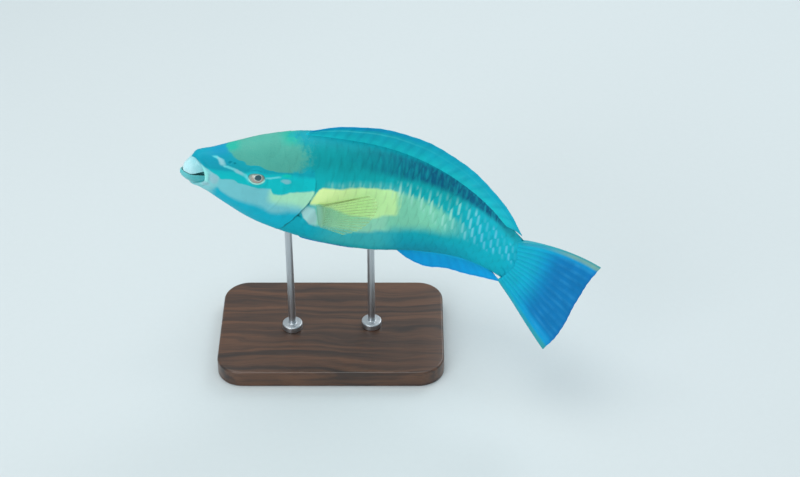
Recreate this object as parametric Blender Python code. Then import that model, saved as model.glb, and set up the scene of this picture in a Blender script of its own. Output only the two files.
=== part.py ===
"""A princess parrotfish, life size, as a still museum model on a plain display stand.

The fish is worked out in its own frame first. A distance s runs along its spine from the snout
towards the tail, y points out of its left flank and z up to its back, all in metres. The spine
is then bent, arched and twisted, the whole fish is pitched nose up, and the result is lifted
onto two rods. The world frame has +Z up, the snout towards -X, the left flank towards -Y and its
origin under the middle of the stand's base.
"""

import math

import bmesh
import bpy
import numpy as np

# The fish's size
STANDARD_LENGTH = 0.240

# The body's outline: place along the spine, back, belly, half width and height of the widest
# point, all as fractions of the standard length
SECTIONS = (
    (-0.016, -0.010, -0.014, 0.000, -0.012),
    (0.000, 0.037, -0.031, 0.0235, 0.001),
    (0.020, 0.0625, -0.0385, 0.0335, 0.004),
    (0.060, 0.0775, -0.0530, 0.0460, 0.002),
    (0.120, 0.1060, -0.0860, 0.0600, -0.004),
    (0.200, 0.1400, -0.1260, 0.0760, -0.006),
    (0.300, 0.1650, -0.1550, 0.0880, -0.002),
    (0.420, 0.1700, -0.1760, 0.0900, 0.004),
    (0.560, 0.1630, -0.1690, 0.0800, 0.006),
    (0.700, 0.1415, -0.1220, 0.0580, 0.004),
    (0.840, 0.1085, -0.0770, 0.0320, 0.002),
    (0.950, 0.0770, -0.0620, 0.0160, 0.001),
    (1.000, 0.0720, -0.0620, 0.0100, 0.000),
)
ROUNDNESS = 2.15

# The pose: turns in degrees, places along the spine as fractions of the standard length
HEADING = -7.5
NOSE_UP = 14.5
BEND = 50.0
ARCH = 4.0
TWIST = -8.0
BEND_FROM = 0.33
BEND_TO = 1.08
SPINE_END = 1.25
SPINE_STEPS = 500

# Where one piece of the body stops and the next starts: degrees around the body, counted from the
# left flank up to the back, with the place along the spine there
LIP_LINE = ((-90, 0.012), (-40, 0.029), (-5, 0.048), (20, 0.040), (45, 0.023), (90, 0.0065))
GILL_LINE = ((-90, 0.262), (-38, 0.286), (-10, 0.314), (12, 0.338), (30, 0.330), (55, 0.292), (90, 0.268))
STEM_LINE = ((-90, 0.770), (0, 0.800), (90, 0.770))
TAIL_LINE = ((-90, 0.962), (-45, 0.972), (0, 0.985), (45, 0.970), (90, 0.955))
JOINT_GAP = 0.0004
AROUND = 36

# The gill covers, as degrees around the body and depth
COVER_LOW = -62.0
COVER_HIGH = 34.0
COVER_WIDTH = 0.112
COVER_END_WIDTH = 0.030
COVER_THICK = 0.0028
COVER_PROUD = 0.0004
COVER_GAP = 0.0004
COVER_REAR_GAP = 0.0008
RECESS_PAST_HEAD = 0.0024
HEAD_RADIUS = 0.030

# The faces between pieces: how far their middles lie ahead of or behind their lines' mean places
GILL_FACE_AHEAD = 0.040
TAIL_FACE_BEHIND = 0.006

# The eyes: places as fractions of the standard length, sizes in metres. Their gaze lies between
# straight sideways and straight out of the skin
EYE_PLACE = 0.180
EYE_ANGLE = 18.5
EYE_RADIUS = 0.0062
EYE_DEPTH = 0.0050
EYE_SUNK = 0.0030
EYE_SIDEWAYS = 0.75
POCKET_GAP = 0.0003

# The beak: where each plate's front lies, the heights of their cutting edges, and the room that
# the mouth's cutter takes, as fractions of the standard length, with the lips' step in metres
UPPER_FRONT = -0.0080
LOWER_FRONT = -0.0145
UPPER_EDGE = 0.0055
LOWER_EDGE = -0.0010
MOUTH_ROOM = 0.090
LIP_STEP = 0.0006
LIP_FACE_BEHIND = 0.030
BEAK_DOME = 0.0008

# The fins
DORSAL_BASE = (0.290, 0.900)
DORSAL_TOP = (
    (0.302, 0.181),
    (0.370, 0.200),
    (0.470, 0.215),
    (0.600, 0.212),
    (0.710, 0.190),
    (0.810, 0.157),
    (0.885, 0.124),
    (0.935, 0.092),
)
ANAL_BASE = (0.612, 0.900)
ANAL_TIP = (
    (0.632, -0.151),
    (0.670, -0.166),
    (0.725, -0.166),
    (0.790, -0.140),
    (0.870, -0.113),
    (0.955, -0.074),
)
TAIL_ROOT_HEIGHT = 0.068
TAIL_ROOT_AT = 0.965
TAIL_MARGIN = (
    (-1.0, 1.163, -0.152),
    (-0.5, 1.179, -0.078),
    (0.0, 1.178, 0.000),
    (0.5, 1.178, 0.080),
    (1.0, 1.188, 0.162),
)
TAIL_BOW_ABOVE = 0.014
TAIL_BOW_BELOW = 0.006
FIN_ROOT_HALF = 0.0011
TAIL_ROOT_HALF = 0.0015
FIN_TIP_HALF = 0.00035
FIN_GAP = 0.0004

# The paired fins lie along the body: place, degrees around it and lift in metres at the four
# corners, front upper, front lower, rear upper and rear lower
PECTORAL = ((0.352, 0.0, 0.0018), (0.374, -22.0, 0.0018), (0.505, 23.0, 0.0090), (0.456, -22.0, 0.0070))
PELVIC = ((0.338, -77.0, 0.0014), (0.350, -83.0, 0.0014), (0.462, -74.0, 0.0018), (0.474, -84.0, 0.0026))
PAIRED_ROUND = 0.042
PAIRED_CORNER = 0.12
PECTORAL_HALF = 0.0011
PAIRED_TIP_HALF = 0.00035

# The display stand, in metres
SNOUT_HEIGHT = 0.154
BASE_SIZE = (0.156, 0.100, 0.012)
BASE_CORNER = 0.018
BASE_EDGE = 0.0015
ROD_PLACES = (0.315, 0.560)
ROD_RADIUS = 0.0025
COLLAR_RADIUS = 0.0070
COLLAR_HEIGHT = 0.0045
COLLAR_EDGE = 0.0008
SOCKET_DEPTH = 0.007
ROD_CLEARANCE = 0.0003
ROD_IN_BODY = 0.010


def smooth_step(t):
    """Three squares less two cubes: a soft rise from 0 to 1."""
    t = np.clip(t, 0.0, 1.0)
    return t * t * (3.0 - 2.0 * t)


def through(knots_x, knots_y, x):
    """A cubic through the knots whose slope at each knot comes from its two neighbours."""
    kx = np.asarray(knots_x, float)
    ky = np.asarray(knots_y, float)
    step = np.diff(kx)
    rise = np.diff(ky) / step
    slope = np.empty_like(ky)
    slope[1:-1] = (rise[:-1] * step[1:] + rise[1:] * step[:-1]) / (step[1:] + step[:-1])
    slope[0] = 1.5 * rise[0] - 0.5 * slope[1]
    slope[-1] = 1.5 * rise[-1] - 0.5 * slope[-2]
    x = np.clip(np.asarray(x, float), kx[0], kx[-1])
    i = np.clip(np.searchsorted(kx, x, side="right") - 1, 0, len(kx) - 2)
    t = (x - kx[i]) / step[i]
    start = (1.0 + 2.0 * t) * (1.0 - t) ** 2 * ky[i] + t * (1.0 - t) ** 2 * step[i] * slope[i]
    end = t * t * (3.0 - 2.0 * t) * ky[i + 1] + t * t * (t - 1.0) * step[i] * slope[i + 1]
    return start + end


def outline(s):
    """Back, belly, half width and widest height at s, in fractions. The knots are spread by the
    square root of the distance behind the tip, which keeps the snout round."""
    table = np.array(SECTIONS)
    spread = np.sqrt(table[:, 0] - table[0, 0])
    at = np.sqrt(np.clip(np.asarray(s, float) - table[0, 0], 0.0, None))
    return [through(spread, table[:, k], at) for k in range(1, 5)]


def around_line(line, angle):
    """The place along the spine of a parting line, at an angle in degrees; both sides are alike."""
    height = np.degrees(np.arcsin(np.clip(np.sin(np.radians(angle)), -1.0, 1.0)))
    table = np.array(line)
    return through(table[:, 0], table[:, 1], height)


class Spine:
    """The bent spine as a row of places with the directions tailwards, left and up to the back."""

    def __init__(self):
        s = np.linspace(0.0, SPINE_END, SPINE_STEPS)
        share = smooth_step((s - BEND_FROM) / (BEND_TO - BEND_FROM))
        heading = np.radians(HEADING + BEND * share)
        arch = np.radians(ARCH * share)
        twist = np.radians(TWIST * share)[:, None]
        tail = np.stack(
            [np.cos(heading) * np.cos(arch), -np.sin(heading) * np.cos(arch), -np.sin(arch)], axis=1
        )
        left = np.stack([-np.sin(heading), -np.cos(heading), 0.0 * heading], axis=1)
        up = np.cross(tail, left)
        up = up * np.sign(up[:, 2:3])
        turned_left = left * np.cos(twist) - up * np.sin(twist)
        turned_up = up * np.cos(twist) + left * np.sin(twist)
        steps = 0.5 * (tail[1:] + tail[:-1]) * (s[1] - s[0])
        places = np.concatenate([np.zeros((1, 3)), np.cumsum(steps, axis=0)])
        pitch = math.radians(NOSE_UP)
        turn = np.array(
            [
                [math.cos(pitch), 0.0, -math.sin(pitch)],
                [0.0, 1.0, 0.0],
                [math.sin(pitch), 0.0, math.cos(pitch)],
            ]
        )
        self.s = s
        self.rows = [np.asarray(row) @ turn for row in (places, tail, turned_left, turned_up)]
        self.move = np.zeros(3)
        under = [self.spot(s, 0.0, outline(s)[1])[:2] for s in ROD_PLACES]
        middle = 0.5 * (under[0] + under[1])
        self.move = np.array([-middle[0], -middle[1], SNOUT_HEIGHT])

    def spot(self, s, y, z):
        """World place of a point given as fractions of the standard length."""
        s = np.asarray(s, float)
        place, tail, left, up = [
            np.stack([np.interp(s, self.s, row[:, k]) for k in range(3)], axis=-1) for row in self.rows
        ]
        ahead = np.minimum(s, 0.0)[..., None]
        y = np.asarray(y, float)[..., None]
        z = np.asarray(z, float)[..., None]
        return (place + tail * ahead + left * y + up * z) * STANDARD_LENGTH + self.move


SPINE = Spine()


def on_body(s, angle, lift=0.0):
    """World places on the body's skin: at each s the section is a rounded oval, a superellipse
    whose upper and lower halves have their own heights. Lift moves them out, in metres."""
    s, angle, lift = np.broadcast_arrays(
        np.asarray(s, float), np.radians(np.asarray(angle, float)), np.asarray(lift, float)
    )
    back, belly, wide, level = outline(s)
    across = np.cos(angle)
    upright = np.sin(angle)
    half = np.where(upright > 0.0, back - level, level - belly)
    power = 2.0 / ROUNDNESS
    y = wide * np.sign(across) * np.abs(across) ** power
    z = level + half * np.sign(upright) * np.abs(upright) ** power
    out_y = across / np.maximum(wide, 0.002)
    out_z = upright / np.maximum(half, 0.002)
    length = np.hypot(out_y, out_z)
    y = y + lift / STANDARD_LENGTH * out_y / length
    z = z + lift / STANDARD_LENGTH * out_z / length
    return SPINE.spot(s, y, z)


def material(name, colour, roughness, metallic=0.0):
    """A Principled material of one colour."""
    made = bpy.data.materials.new(name)
    made.use_nodes = True
    shader = made.node_tree.nodes["Principled BSDF"]
    shader.inputs["Base Color"].default_value = (*colour, 1.0)
    shader.inputs["Roughness"].default_value = roughness
    shader.inputs["Metallic"].default_value = metallic
    return made


def mesh_object(name, points, faces, finish):
    """A closed mesh as an object, with its faces turned outwards and shaded smooth."""
    mesh = bpy.data.meshes.new(name)
    mesh.from_pydata([tuple(p) for p in points], [], faces)
    shape = bmesh.new()
    shape.from_mesh(mesh)
    bmesh.ops.recalc_face_normals(shape, faces=shape.faces)
    shape.to_mesh(mesh)
    shape.free()
    made = bpy.data.objects.new(name, mesh)
    bpy.context.collection.objects.link(made)
    mesh.materials.append(finish)
    mesh.shade_smooth()
    mesh.set_sharp_from_angle(angle=math.radians(45))
    return made


def grid_faces(rows, columns, first=0, closed=False):
    """Quads of a grid of points, counted row by row; a closed grid joins its last column to its first."""
    faces = []
    for i in range(rows - 1):
        for j in range(columns if closed else columns - 1):
            a = first + i * columns + j
            b = first + i * columns + (j + 1) % columns
            faces.append((a, b, b + columns, a + columns))
    return faces


def loft(name, start_line, end_line, rows, dish, finish, lift=0.0):
    """One length of the body between two parting lines, each end closed by a fan round a middle
    point that lies dish behind the line's mean place. Lift, in metres, makes it fuller."""
    angle = np.linspace(0.0, 360.0, AROUND, endpoint=False)
    gap = 0.5 * JOINT_GAP / STANDARD_LENGTH
    start = around_line(start_line, angle) + gap
    end = around_line(end_line, angle) - gap
    share = np.linspace(0.0, 1.0, rows)[:, None]
    places = on_body(start + (end - start) * share, angle, lift).reshape(-1, 3)
    faces = grid_faces(rows, AROUND, closed=True)
    middles = []
    for line, behind, row in ((start_line, dish[0] + gap, 0), (end_line, dish[1] - gap, rows - 1)):
        middle = around_line(line, angle).mean() + behind
        centre = len(places) + len(middles)
        middles.append(SPINE.spot(middle, 0.0, outline(middle)[3]))
        first = row * AROUND
        faces += [(first + j, first + (j + 1) % AROUND, centre) for j in range(AROUND)]
    return mesh_object(name, np.concatenate([places, middles]), faces, finish)


def plate(name, outer, inner, finish):
    """A closed solid between two grids of points of the same size, joined along their borders."""
    rows, columns = outer.shape[:2]
    count = rows * columns
    faces = grid_faces(rows, columns) + grid_faces(rows, columns, first=count)
    border = list(range(columns))
    border += [i * columns + columns - 1 for i in range(1, rows)]
    border += [(rows - 1) * columns + j for j in range(columns - 2, -1, -1)]
    border += [i * columns for i in range(rows - 2, 0, -1)]
    for k, a in enumerate(border):
        b = border[(k + 1) % len(border)]
        faces.append((a, b, b + count, a + count))
    points = np.concatenate([outer.reshape(-1, 3), inner.reshape(-1, 3)])
    return mesh_object(name, points, faces, finish)


def cut(target, cutter):
    """Takes the cutter out of the target and keeps the cutter as a guide."""
    cutter.hide_render = True
    cutter.display_type = "WIRE"
    step = target.modifiers.new("cut_" + cutter.name, "BOOLEAN")
    step.operation = "DIFFERENCE"
    step.solver = "EXACT"
    step.object = cutter


def gill_cover(name, side, grow, past, lifts, finish):
    """A curved plate over the cheek's rear. Its width falls off from the middle to its two ends by
    a fourth power, and its rear edge is the gill line, which leans forward inside with the face
    between head and trunk. For a cutter, grow and past are its extra size, all round and behind
    the gill line; lifts are how far it reaches out of the skin and into the head. In metres."""
    extra = grow / STANDARD_LENGTH
    turn = math.degrees(grow / HEAD_RADIUS)
    angle = np.linspace(COVER_LOW - turn, COVER_HIGH + turn, 13)
    middle = 0.5 * (COVER_LOW + COVER_HIGH)
    away = np.abs((angle - middle) / (0.5 * (COVER_HIGH - COVER_LOW)))
    width = COVER_END_WIDTH + (COVER_WIDTH - COVER_END_WIDTH) * (1.0 - np.clip(away, 0.0, 1.0) ** 4)
    rear = around_line(GILL_LINE, angle) + (past - COVER_REAR_GAP) / STANDARD_LENGTH
    front = around_line(GILL_LINE, angle) - width - extra
    full_turn = np.linspace(0.0, 360.0, AROUND, endpoint=False)
    middle_face = around_line(GILL_LINE, full_turn).mean() - GILL_FACE_AHEAD
    half_width = outline(rear)[2] * STANDARD_LENGTH
    rear_inside = rear - (rear - middle_face) * lifts[1] / half_width
    share = np.linspace(0.0, 1.0, 6)[:, None]
    turned = angle if side == "left" else 180.0 - angle
    outer = on_body(front + (rear - front) * share, turned, lifts[0])
    inner = on_body(front + (rear_inside - front) * share, turned, -lifts[1])
    return plate(name, outer, inner, finish)


def eye_ball(name, side, grow, finish):
    """A flattened ball whose short axis is the gaze."""
    angle = EYE_ANGLE if side == "left" else 180.0 - EYE_ANGLE
    skin = on_body(EYE_PLACE, angle)
    normal = on_body(EYE_PLACE, angle, 1.0) - skin
    sideways = SPINE.spot(EYE_PLACE, 1.0 if side == "left" else -1.0, 0.0) - SPINE.spot(EYE_PLACE, 0.0, 0.0)
    ahead = on_body(EYE_PLACE - 0.01, angle) - skin
    out = normal / np.linalg.norm(normal) * (1.0 - EYE_SIDEWAYS)
    out = out + sideways / np.linalg.norm(sideways) * EYE_SIDEWAYS
    out = out / np.linalg.norm(out)
    ahead = ahead - out * (ahead @ out)
    ahead = ahead / np.linalg.norm(ahead)
    above = np.cross(out, ahead)
    centre = skin - out * EYE_SUNK
    turns = 20
    bands = 10
    lon = np.linspace(0.0, 2.0 * np.pi, turns, endpoint=False)
    lat = np.linspace(0.0, np.pi, bands + 1)[1:-1, None]
    wide = (EYE_RADIUS + grow) * np.sin(lat)
    deep = (EYE_DEPTH + grow) * np.cos(lat) + 0.0 * lon
    places = (
        centre
        + (wide * np.cos(lon))[..., None] * ahead
        + (wide * np.sin(lon))[..., None] * above
        + deep[..., None] * out
    ).reshape(-1, 3)
    faces = grid_faces(bands - 1, turns, closed=True)
    poles = [centre + out * (EYE_DEPTH + grow), centre - out * (EYE_DEPTH + grow)]
    last = (bands - 2) * turns
    faces += [(j, (j + 1) % turns, len(places)) for j in range(turns)]
    faces += [(last + j, last + (j + 1) % turns, len(places) + 1) for j in range(turns)]
    return mesh_object(name, np.concatenate([places, poles]), faces, finish)


def beak_plate(name, front, below, edge, finish):
    """One plate of the beak: the muzzle ahead of the lips, a step inside them, less all that lies
    above or below the plate's cutting edge."""
    front_line = ((-90, front), (0, front), (90, front))
    made = loft(name, front_line, LIP_LINE, 7, (-BEAK_DOME, LIP_FACE_BEHIND), finish, -LIP_STEP)
    ends = (-MOUTH_ROOM, MOUTH_ROOM)
    heights = (-MOUTH_ROOM, edge) if below else (edge, MOUTH_ROOM)
    corners = [SPINE.spot(s, y, z) for s in ends for y in ends for z in heights]
    faces = [(0, 1, 3, 2), (4, 5, 7, 6), (0, 1, 5, 4), (2, 3, 7, 6), (0, 2, 6, 4), (1, 3, 7, 5)]
    cut(made, mesh_object("mouth_" + name, corners, faces, finish))


def upright_fin(name, base, margin, rise, finish):
    """A fin on the middle line. Its base follows the back or the belly, its rays run from there to
    the margin, and it thins from the root to the margin."""
    across = np.linspace(0.0, 1.0, 23)
    along = np.linspace(0.0, 1.0, 5)[:, None]
    base_s = base[0] + (base[1] - base[0]) * across
    edge = outline(base_s)[0 if rise > 0.0 else 1]
    base_z = edge + rise * FIN_GAP / STANDARD_LENGTH
    table = np.array(margin)
    spread = (table[:, 0] - table[0, 0]) / (table[-1, 0] - table[0, 0])
    top_s = through(spread, table[:, 0], across)
    top_z = through(spread, table[:, 1], across)
    s = base_s + (top_s - base_s) * along
    z = base_z + (top_z - base_z) * along
    half = (FIN_ROOT_HALF + (FIN_TIP_HALF - FIN_ROOT_HALF) * along) / STANDARD_LENGTH + 0.0 * s
    return plate(name, SPINE.spot(s, half, z), SPINE.spot(s, -half, z), finish)


def tail_fin(finish):
    """A fan from the stem's rounded end to the rear margin, with its outer rays bowed outwards."""
    across = np.linspace(-1.0, 1.0, 19)
    along = np.linspace(0.0, 1.0, 7)[:, None]
    root_z = TAIL_ROOT_HEIGHT * across
    back, belly, _, level = outline(TAIL_ROOT_AT)
    height = np.where(root_z > level, back - level, level - belly)
    angle = np.degrees(np.arcsin(np.clip((root_z - level) / height, -1.0, 1.0)))
    root_s = around_line(TAIL_LINE, angle) + FIN_GAP / STANDARD_LENGTH
    table = np.array(TAIL_MARGIN)
    rear_s = through(table[:, 0], table[:, 1], across)
    rear_z = through(table[:, 0], table[:, 2], across)
    most = np.where(across > 0.0, TAIL_BOW_ABOVE, TAIL_BOW_BELOW)
    bow = most * across * 4.0 * along * (1.0 - along)
    s = root_s + (rear_s - root_s) * along
    z = root_z + (rear_z - root_z) * along + bow
    half = (TAIL_ROOT_HALF + (FIN_TIP_HALF - TAIL_ROOT_HALF) * along) / STANDARD_LENGTH + 0.0 * s
    return plate("tail_fin", SPINE.spot(s, half, z), SPINE.spot(s, -half, z), finish)


def paired_fin(name, corners, side, root_half, finish):
    """A fin that lies along the flank or the belly. Its four corners are joined straight, its rear
    margin is rounded out by a parabola, its outer rays are a little shorter by a sixth power, and
    it thins from the root to the margin."""
    down = np.linspace(0.0, 1.0, 11)
    along = np.linspace(0.0, 1.0, 7)[:, None]
    front_up, front_low, rear_up, rear_low = np.array(corners)
    front = front_up + (front_low - front_up) * down[:, None]
    rear = rear_up + (rear_low - rear_up) * down[:, None]
    rear[:, 0] += PAIRED_ROUND * 4.0 * down * (1.0 - down)
    reach = 1.0 - PAIRED_CORNER * np.abs(2.0 * down - 1.0) ** 6
    place = front + (rear - front) * (along * reach)[..., None]
    s, angle, lift = place[..., 0], place[..., 1], place[..., 2]
    if side == "right":
        angle = 180.0 - angle
    half = root_half + (PAIRED_TIP_HALF - root_half) * along
    return plate(name, on_body(s, angle, lift + half), on_body(s, angle, lift - half), finish)


def turned(name, profile, place, finish, sides=16):
    """A solid of revolution about an upright axis, closed by fans at both ends. The profile is a
    row of radius and height."""
    turn = np.linspace(0.0, 2.0 * np.pi, sides, endpoint=False)
    table = np.array(profile)
    ring = np.stack([np.cos(turn), np.sin(turn)], axis=1)
    places = np.concatenate(
        [np.column_stack([place[0] + r * ring[:, 0], place[1] + r * ring[:, 1], np.full(sides, z)])
         for r, z in table]
    )
    faces = grid_faces(len(table), sides, closed=True)
    faces.append(tuple(range(sides)))
    faces.append(tuple(range((len(table) - 1) * sides, len(table) * sides)))
    return mesh_object(name, places, faces, finish)


def stand_base(rods, wood):
    """A flat plate with round corners and a softened top edge, bored for the two rods."""
    shape = bmesh.new()
    bmesh.ops.create_cube(shape, size=1.0)
    bmesh.ops.scale(shape, vec=BASE_SIZE, verts=shape.verts)
    bmesh.ops.translate(shape, vec=(0.0, 0.0, 0.5 * BASE_SIZE[2]), verts=shape.verts)
    upright = [e for e in shape.edges if abs(e.verts[0].co.z - e.verts[1].co.z) > 0.5 * BASE_SIZE[2]]
    bmesh.ops.bevel(shape, geom=upright, offset=BASE_CORNER, segments=6, profile=0.5, affect="EDGES")
    top = [e for e in shape.edges if min(v.co.z for v in e.verts) > BASE_SIZE[2] - 1e-6]
    bmesh.ops.bevel(shape, geom=top, offset=BASE_EDGE, segments=2, profile=0.5, affect="EDGES")
    mesh = bpy.data.meshes.new("stand_base")
    shape.to_mesh(mesh)
    shape.free()
    base = bpy.data.objects.new("stand_base", mesh)
    bpy.context.collection.objects.link(base)
    mesh.materials.append(wood)
    for name, place in rods:
        low = BASE_SIZE[2] - SOCKET_DEPTH
        high = BASE_SIZE[2] + SOCKET_DEPTH
        radius = ROD_RADIUS + ROD_CLEARANCE
        cut(base, turned("socket_" + name, ((radius, low), (radius, high)), place, wood))
    return base


def stand_rod(name, place, trunk, steel):
    """A rod from its socket in the base up into the body, with a collar that sits on the base."""
    foot = BASE_SIZE[2] - SOCKET_DEPTH + ROD_CLEARANCE
    seat = BASE_SIZE[2] + ROD_CLEARANCE
    top = place[2] + ROD_IN_BODY
    shoulder = seat + COLLAR_HEIGHT
    profile = (
        (ROD_RADIUS, foot),
        (ROD_RADIUS, seat),
        (COLLAR_RADIUS, seat),
        (COLLAR_RADIUS, shoulder - COLLAR_EDGE),
        (COLLAR_RADIUS - COLLAR_EDGE, shoulder),
        (ROD_RADIUS + COLLAR_EDGE, shoulder),
        (ROD_RADIUS, shoulder + COLLAR_EDGE),
        (ROD_RADIUS, top),
    )
    turned(name, profile, place, steel)
    radius = ROD_RADIUS + ROD_CLEARANCE
    bore = ((radius, place[2] - ROD_IN_BODY), (radius, top + ROD_CLEARANCE))
    cut(trunk, turned("bore_" + name, bore, place, steel))


def build():
    """Makes every piece of the fish and of its stand."""
    for thing in list(bpy.data.objects):
        bpy.data.objects.remove(thing, do_unlink=True)
    skin = material("skin_teal", (0.02, 0.42, 0.48), 0.45)
    cheek = material("skin_cheek", (0.30, 0.62, 0.62), 0.45)
    blue_fin = material("fin_blue", (0.02, 0.26, 0.62), 0.40)
    clear_fin = material("fin_clear", (0.55, 0.66, 0.35), 0.40)
    tooth = material("beak_white", (0.75, 0.86, 0.86), 0.25)
    eye = material("eye_dark", (0.16, 0.13, 0.11), 0.08)
    wood = material("stand_wood", (0.10, 0.055, 0.03), 0.45)
    steel = material("stand_steel", (0.55, 0.56, 0.58), 0.30, 1.0)

    head = loft("head", LIP_LINE, GILL_LINE, 11, (LIP_FACE_BEHIND, -GILL_FACE_AHEAD), skin)
    trunk = loft("trunk", GILL_LINE, STEM_LINE, 16, (-GILL_FACE_AHEAD, 0.0), skin)
    loft("tail_stem", STEM_LINE, TAIL_LINE, 8, (0.0, TAIL_FACE_BEHIND), skin)
    for side in ("left", "right"):
        gill_cover("gill_cover_" + side, side, 0.0, 0.0, (COVER_PROUD, COVER_THICK), cheek)
        lifts = (RECESS_PAST_HEAD, COVER_THICK + COVER_GAP)
        recess = gill_cover("cover_recess_" + side, side, COVER_GAP, RECESS_PAST_HEAD, lifts, cheek)
        cut(head, recess)
        eye_ball("eye_" + side, side, 0.0, eye)
        cut(head, eye_ball("eye_pocket_" + side, side, POCKET_GAP, eye))
    beak_plate("upper_beak", UPPER_FRONT, True, UPPER_EDGE, tooth)
    beak_plate("lower_beak", LOWER_FRONT, False, LOWER_EDGE, tooth)
    upright_fin("dorsal_fin", DORSAL_BASE, DORSAL_TOP, 1.0, blue_fin)
    upright_fin("anal_fin", ANAL_BASE, ANAL_TIP, -1.0, blue_fin)
    tail_fin(blue_fin)
    for side in ("left", "right"):
        paired_fin("pectoral_fin_" + side, PECTORAL, side, PECTORAL_HALF, clear_fin)
        paired_fin("pelvic_fin_" + side, PELVIC, side, FIN_ROOT_HALF, blue_fin)
    rods = []
    for name, s in zip(("stand_rod_front", "stand_rod_rear"), ROD_PLACES):
        rods.append((name, SPINE.spot(s, 0.0, outline(s)[1])))
    stand_base(rods, wood)
    for name, place in rods:
        stand_rod(name, place, trunk, steel)


build()
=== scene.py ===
"""The looks of a princess parrotfish, life size, as a still museum model on a display stand.

The fish is worked out in its own frame: a place s along the bent spine in fractions of the
length, an angle round the body in degrees (0 on the left flank, 90 on the back, 180 on the right
flank) and a lift out of the skin in metres. The skin, its scales, the fins and the colours are
functions of those three. The world frame is the solids' own: metres, +Z up, snout towards -X.
"""

import logging
import math
from dataclasses import dataclass, field
from enum import Enum
from typing import Callable, Sequence, Union

import bpy
import numpy as np
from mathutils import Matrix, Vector


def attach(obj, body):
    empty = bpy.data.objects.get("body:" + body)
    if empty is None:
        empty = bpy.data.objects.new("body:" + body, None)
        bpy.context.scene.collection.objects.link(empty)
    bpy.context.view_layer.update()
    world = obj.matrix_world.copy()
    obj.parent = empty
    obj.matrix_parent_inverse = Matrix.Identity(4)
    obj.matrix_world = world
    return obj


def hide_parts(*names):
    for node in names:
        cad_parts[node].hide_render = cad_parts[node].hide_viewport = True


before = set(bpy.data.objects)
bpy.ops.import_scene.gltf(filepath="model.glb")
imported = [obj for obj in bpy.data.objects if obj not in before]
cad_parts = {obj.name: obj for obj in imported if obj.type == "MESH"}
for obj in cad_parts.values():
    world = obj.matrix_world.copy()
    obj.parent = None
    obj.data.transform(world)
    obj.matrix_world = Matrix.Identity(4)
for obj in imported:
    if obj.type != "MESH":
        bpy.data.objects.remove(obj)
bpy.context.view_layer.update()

Array = np.ndarray
Points = Sequence[tuple[float, float]]
Material = bpy.types.Material
Socket = bpy.types.NodeSocket
Thing = bpy.types.Object
LOG = logging.getLogger("parrotfish")


def tint(code: str) -> tuple[float, ...]:
    """Turns a display colour, six hex digits, into linear red, green and blue with an alpha of 1."""
    shown = np.array([int(code[k:k + 2], 16) for k in (0, 2, 4)]) / 255.0
    light = np.where(shown <= 0.04045, shown / 12.92, ((shown + 0.055) / 1.055) ** 2.4)
    return (*[float(v) for v in light], 1.0)


def smooth_step(t: Array) -> Array:
    """Three squares less two cubes of t held between 0 and 1: a soft rise."""
    t = np.clip(t, 0.0, 1.0)
    return t * t * (3.0 - 2.0 * t)


def hump(x: Array, width: float) -> Array:
    """A bell of height 1 about x = 0: e to the power of minus x over width, squared."""
    return np.exp(-((x / width) ** 2))


def blend(first: Array, last: Array, share: Array) -> Array:
    """The first value plus a share of the way from it to the last."""
    return first + (last - first) * share


def unit(vectors: Array) -> Array:
    """Vectors made one long: each over the root of the sum of its squares."""
    return vectors / np.linalg.norm(vectors, axis=-1, keepdims=True)


def once_round(count: int) -> Array:
    """A row of equally spaced angles once round, in radians."""
    return np.linspace(0.0, 2.0 * np.pi, count, endpoint=False)[None, :]


def quarter_round(count: int) -> Array:
    """Equally spaced angles from 0 to a right angle, in radians."""
    return np.linspace(0.0, 0.5 * np.pi, count)


def through(knots_x: Array, knots_y: Array, x: Array) -> Array:
    """Runs a smooth curve through knots.

    Between two knots it is a cubic whose slope at each knot is the mean of the slopes of the two
    stretches that meet there, each weighed by the other's length.

    Args:
        knots_x: The knots' places, rising.
        knots_y: The knots' values.
        x: Where the curve is wanted.

    Returns:
        The curve's value at each x.
    """
    kx = np.asarray(knots_x, float)
    ky = np.asarray(knots_y, float)
    step = np.diff(kx)
    rise = np.diff(ky) / step
    slope = np.empty_like(ky)
    slope[1:-1] = (rise[:-1] * step[1:] + rise[1:] * step[:-1]) / (step[1:] + step[:-1])
    slope[0] = 1.5 * rise[0] - 0.5 * slope[1]
    slope[-1] = 1.5 * rise[-1] - 0.5 * slope[-2]
    x = np.clip(np.asarray(x, float), kx[0], kx[-1])
    i = np.clip(np.searchsorted(kx, x, side="right") - 1, 0, len(kx) - 2)
    t = (x - kx[i]) / step[i]
    start = (1.0 + 2.0 * t) * (1.0 - t) ** 2 * ky[i] + t * (1.0 - t) ** 2 * step[i] * slope[i]
    end = t * t * (3.0 - 2.0 * t) * ky[i + 1] + t * t * (t - 1.0) * step[i] * slope[i + 1]
    return start + end


def upright(angle: Array) -> Array:
    """The angle above the flank, -90 to 90, of an angle round the body: both sides are alike."""
    return np.degrees(np.arcsin(np.clip(np.sin(np.radians(angle)), -1.0, 1.0)))


class Slot(Enum):
    """The record's material slots."""

    SKIN = "skin"
    BEAK = "beak"
    EYE = "eye"
    BLUE_FIN = "blue_fin"
    CLEAR_FIN = "clear_fin"
    WOOD = "wood"
    STEEL = "steel"


class Side(Enum):
    """The fish's two sides, with the way each faces."""

    LEFT = 1.0
    RIGHT = -1.0

    def turned(self, angle: Array) -> Array:
        """The same angle on this side: 180 less it on the right."""
        return angle if self is Side.LEFT else 180.0 - angle

    @property
    def word(self) -> str:
        """The side's name in lower case."""
        return self.name.lower()


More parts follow.
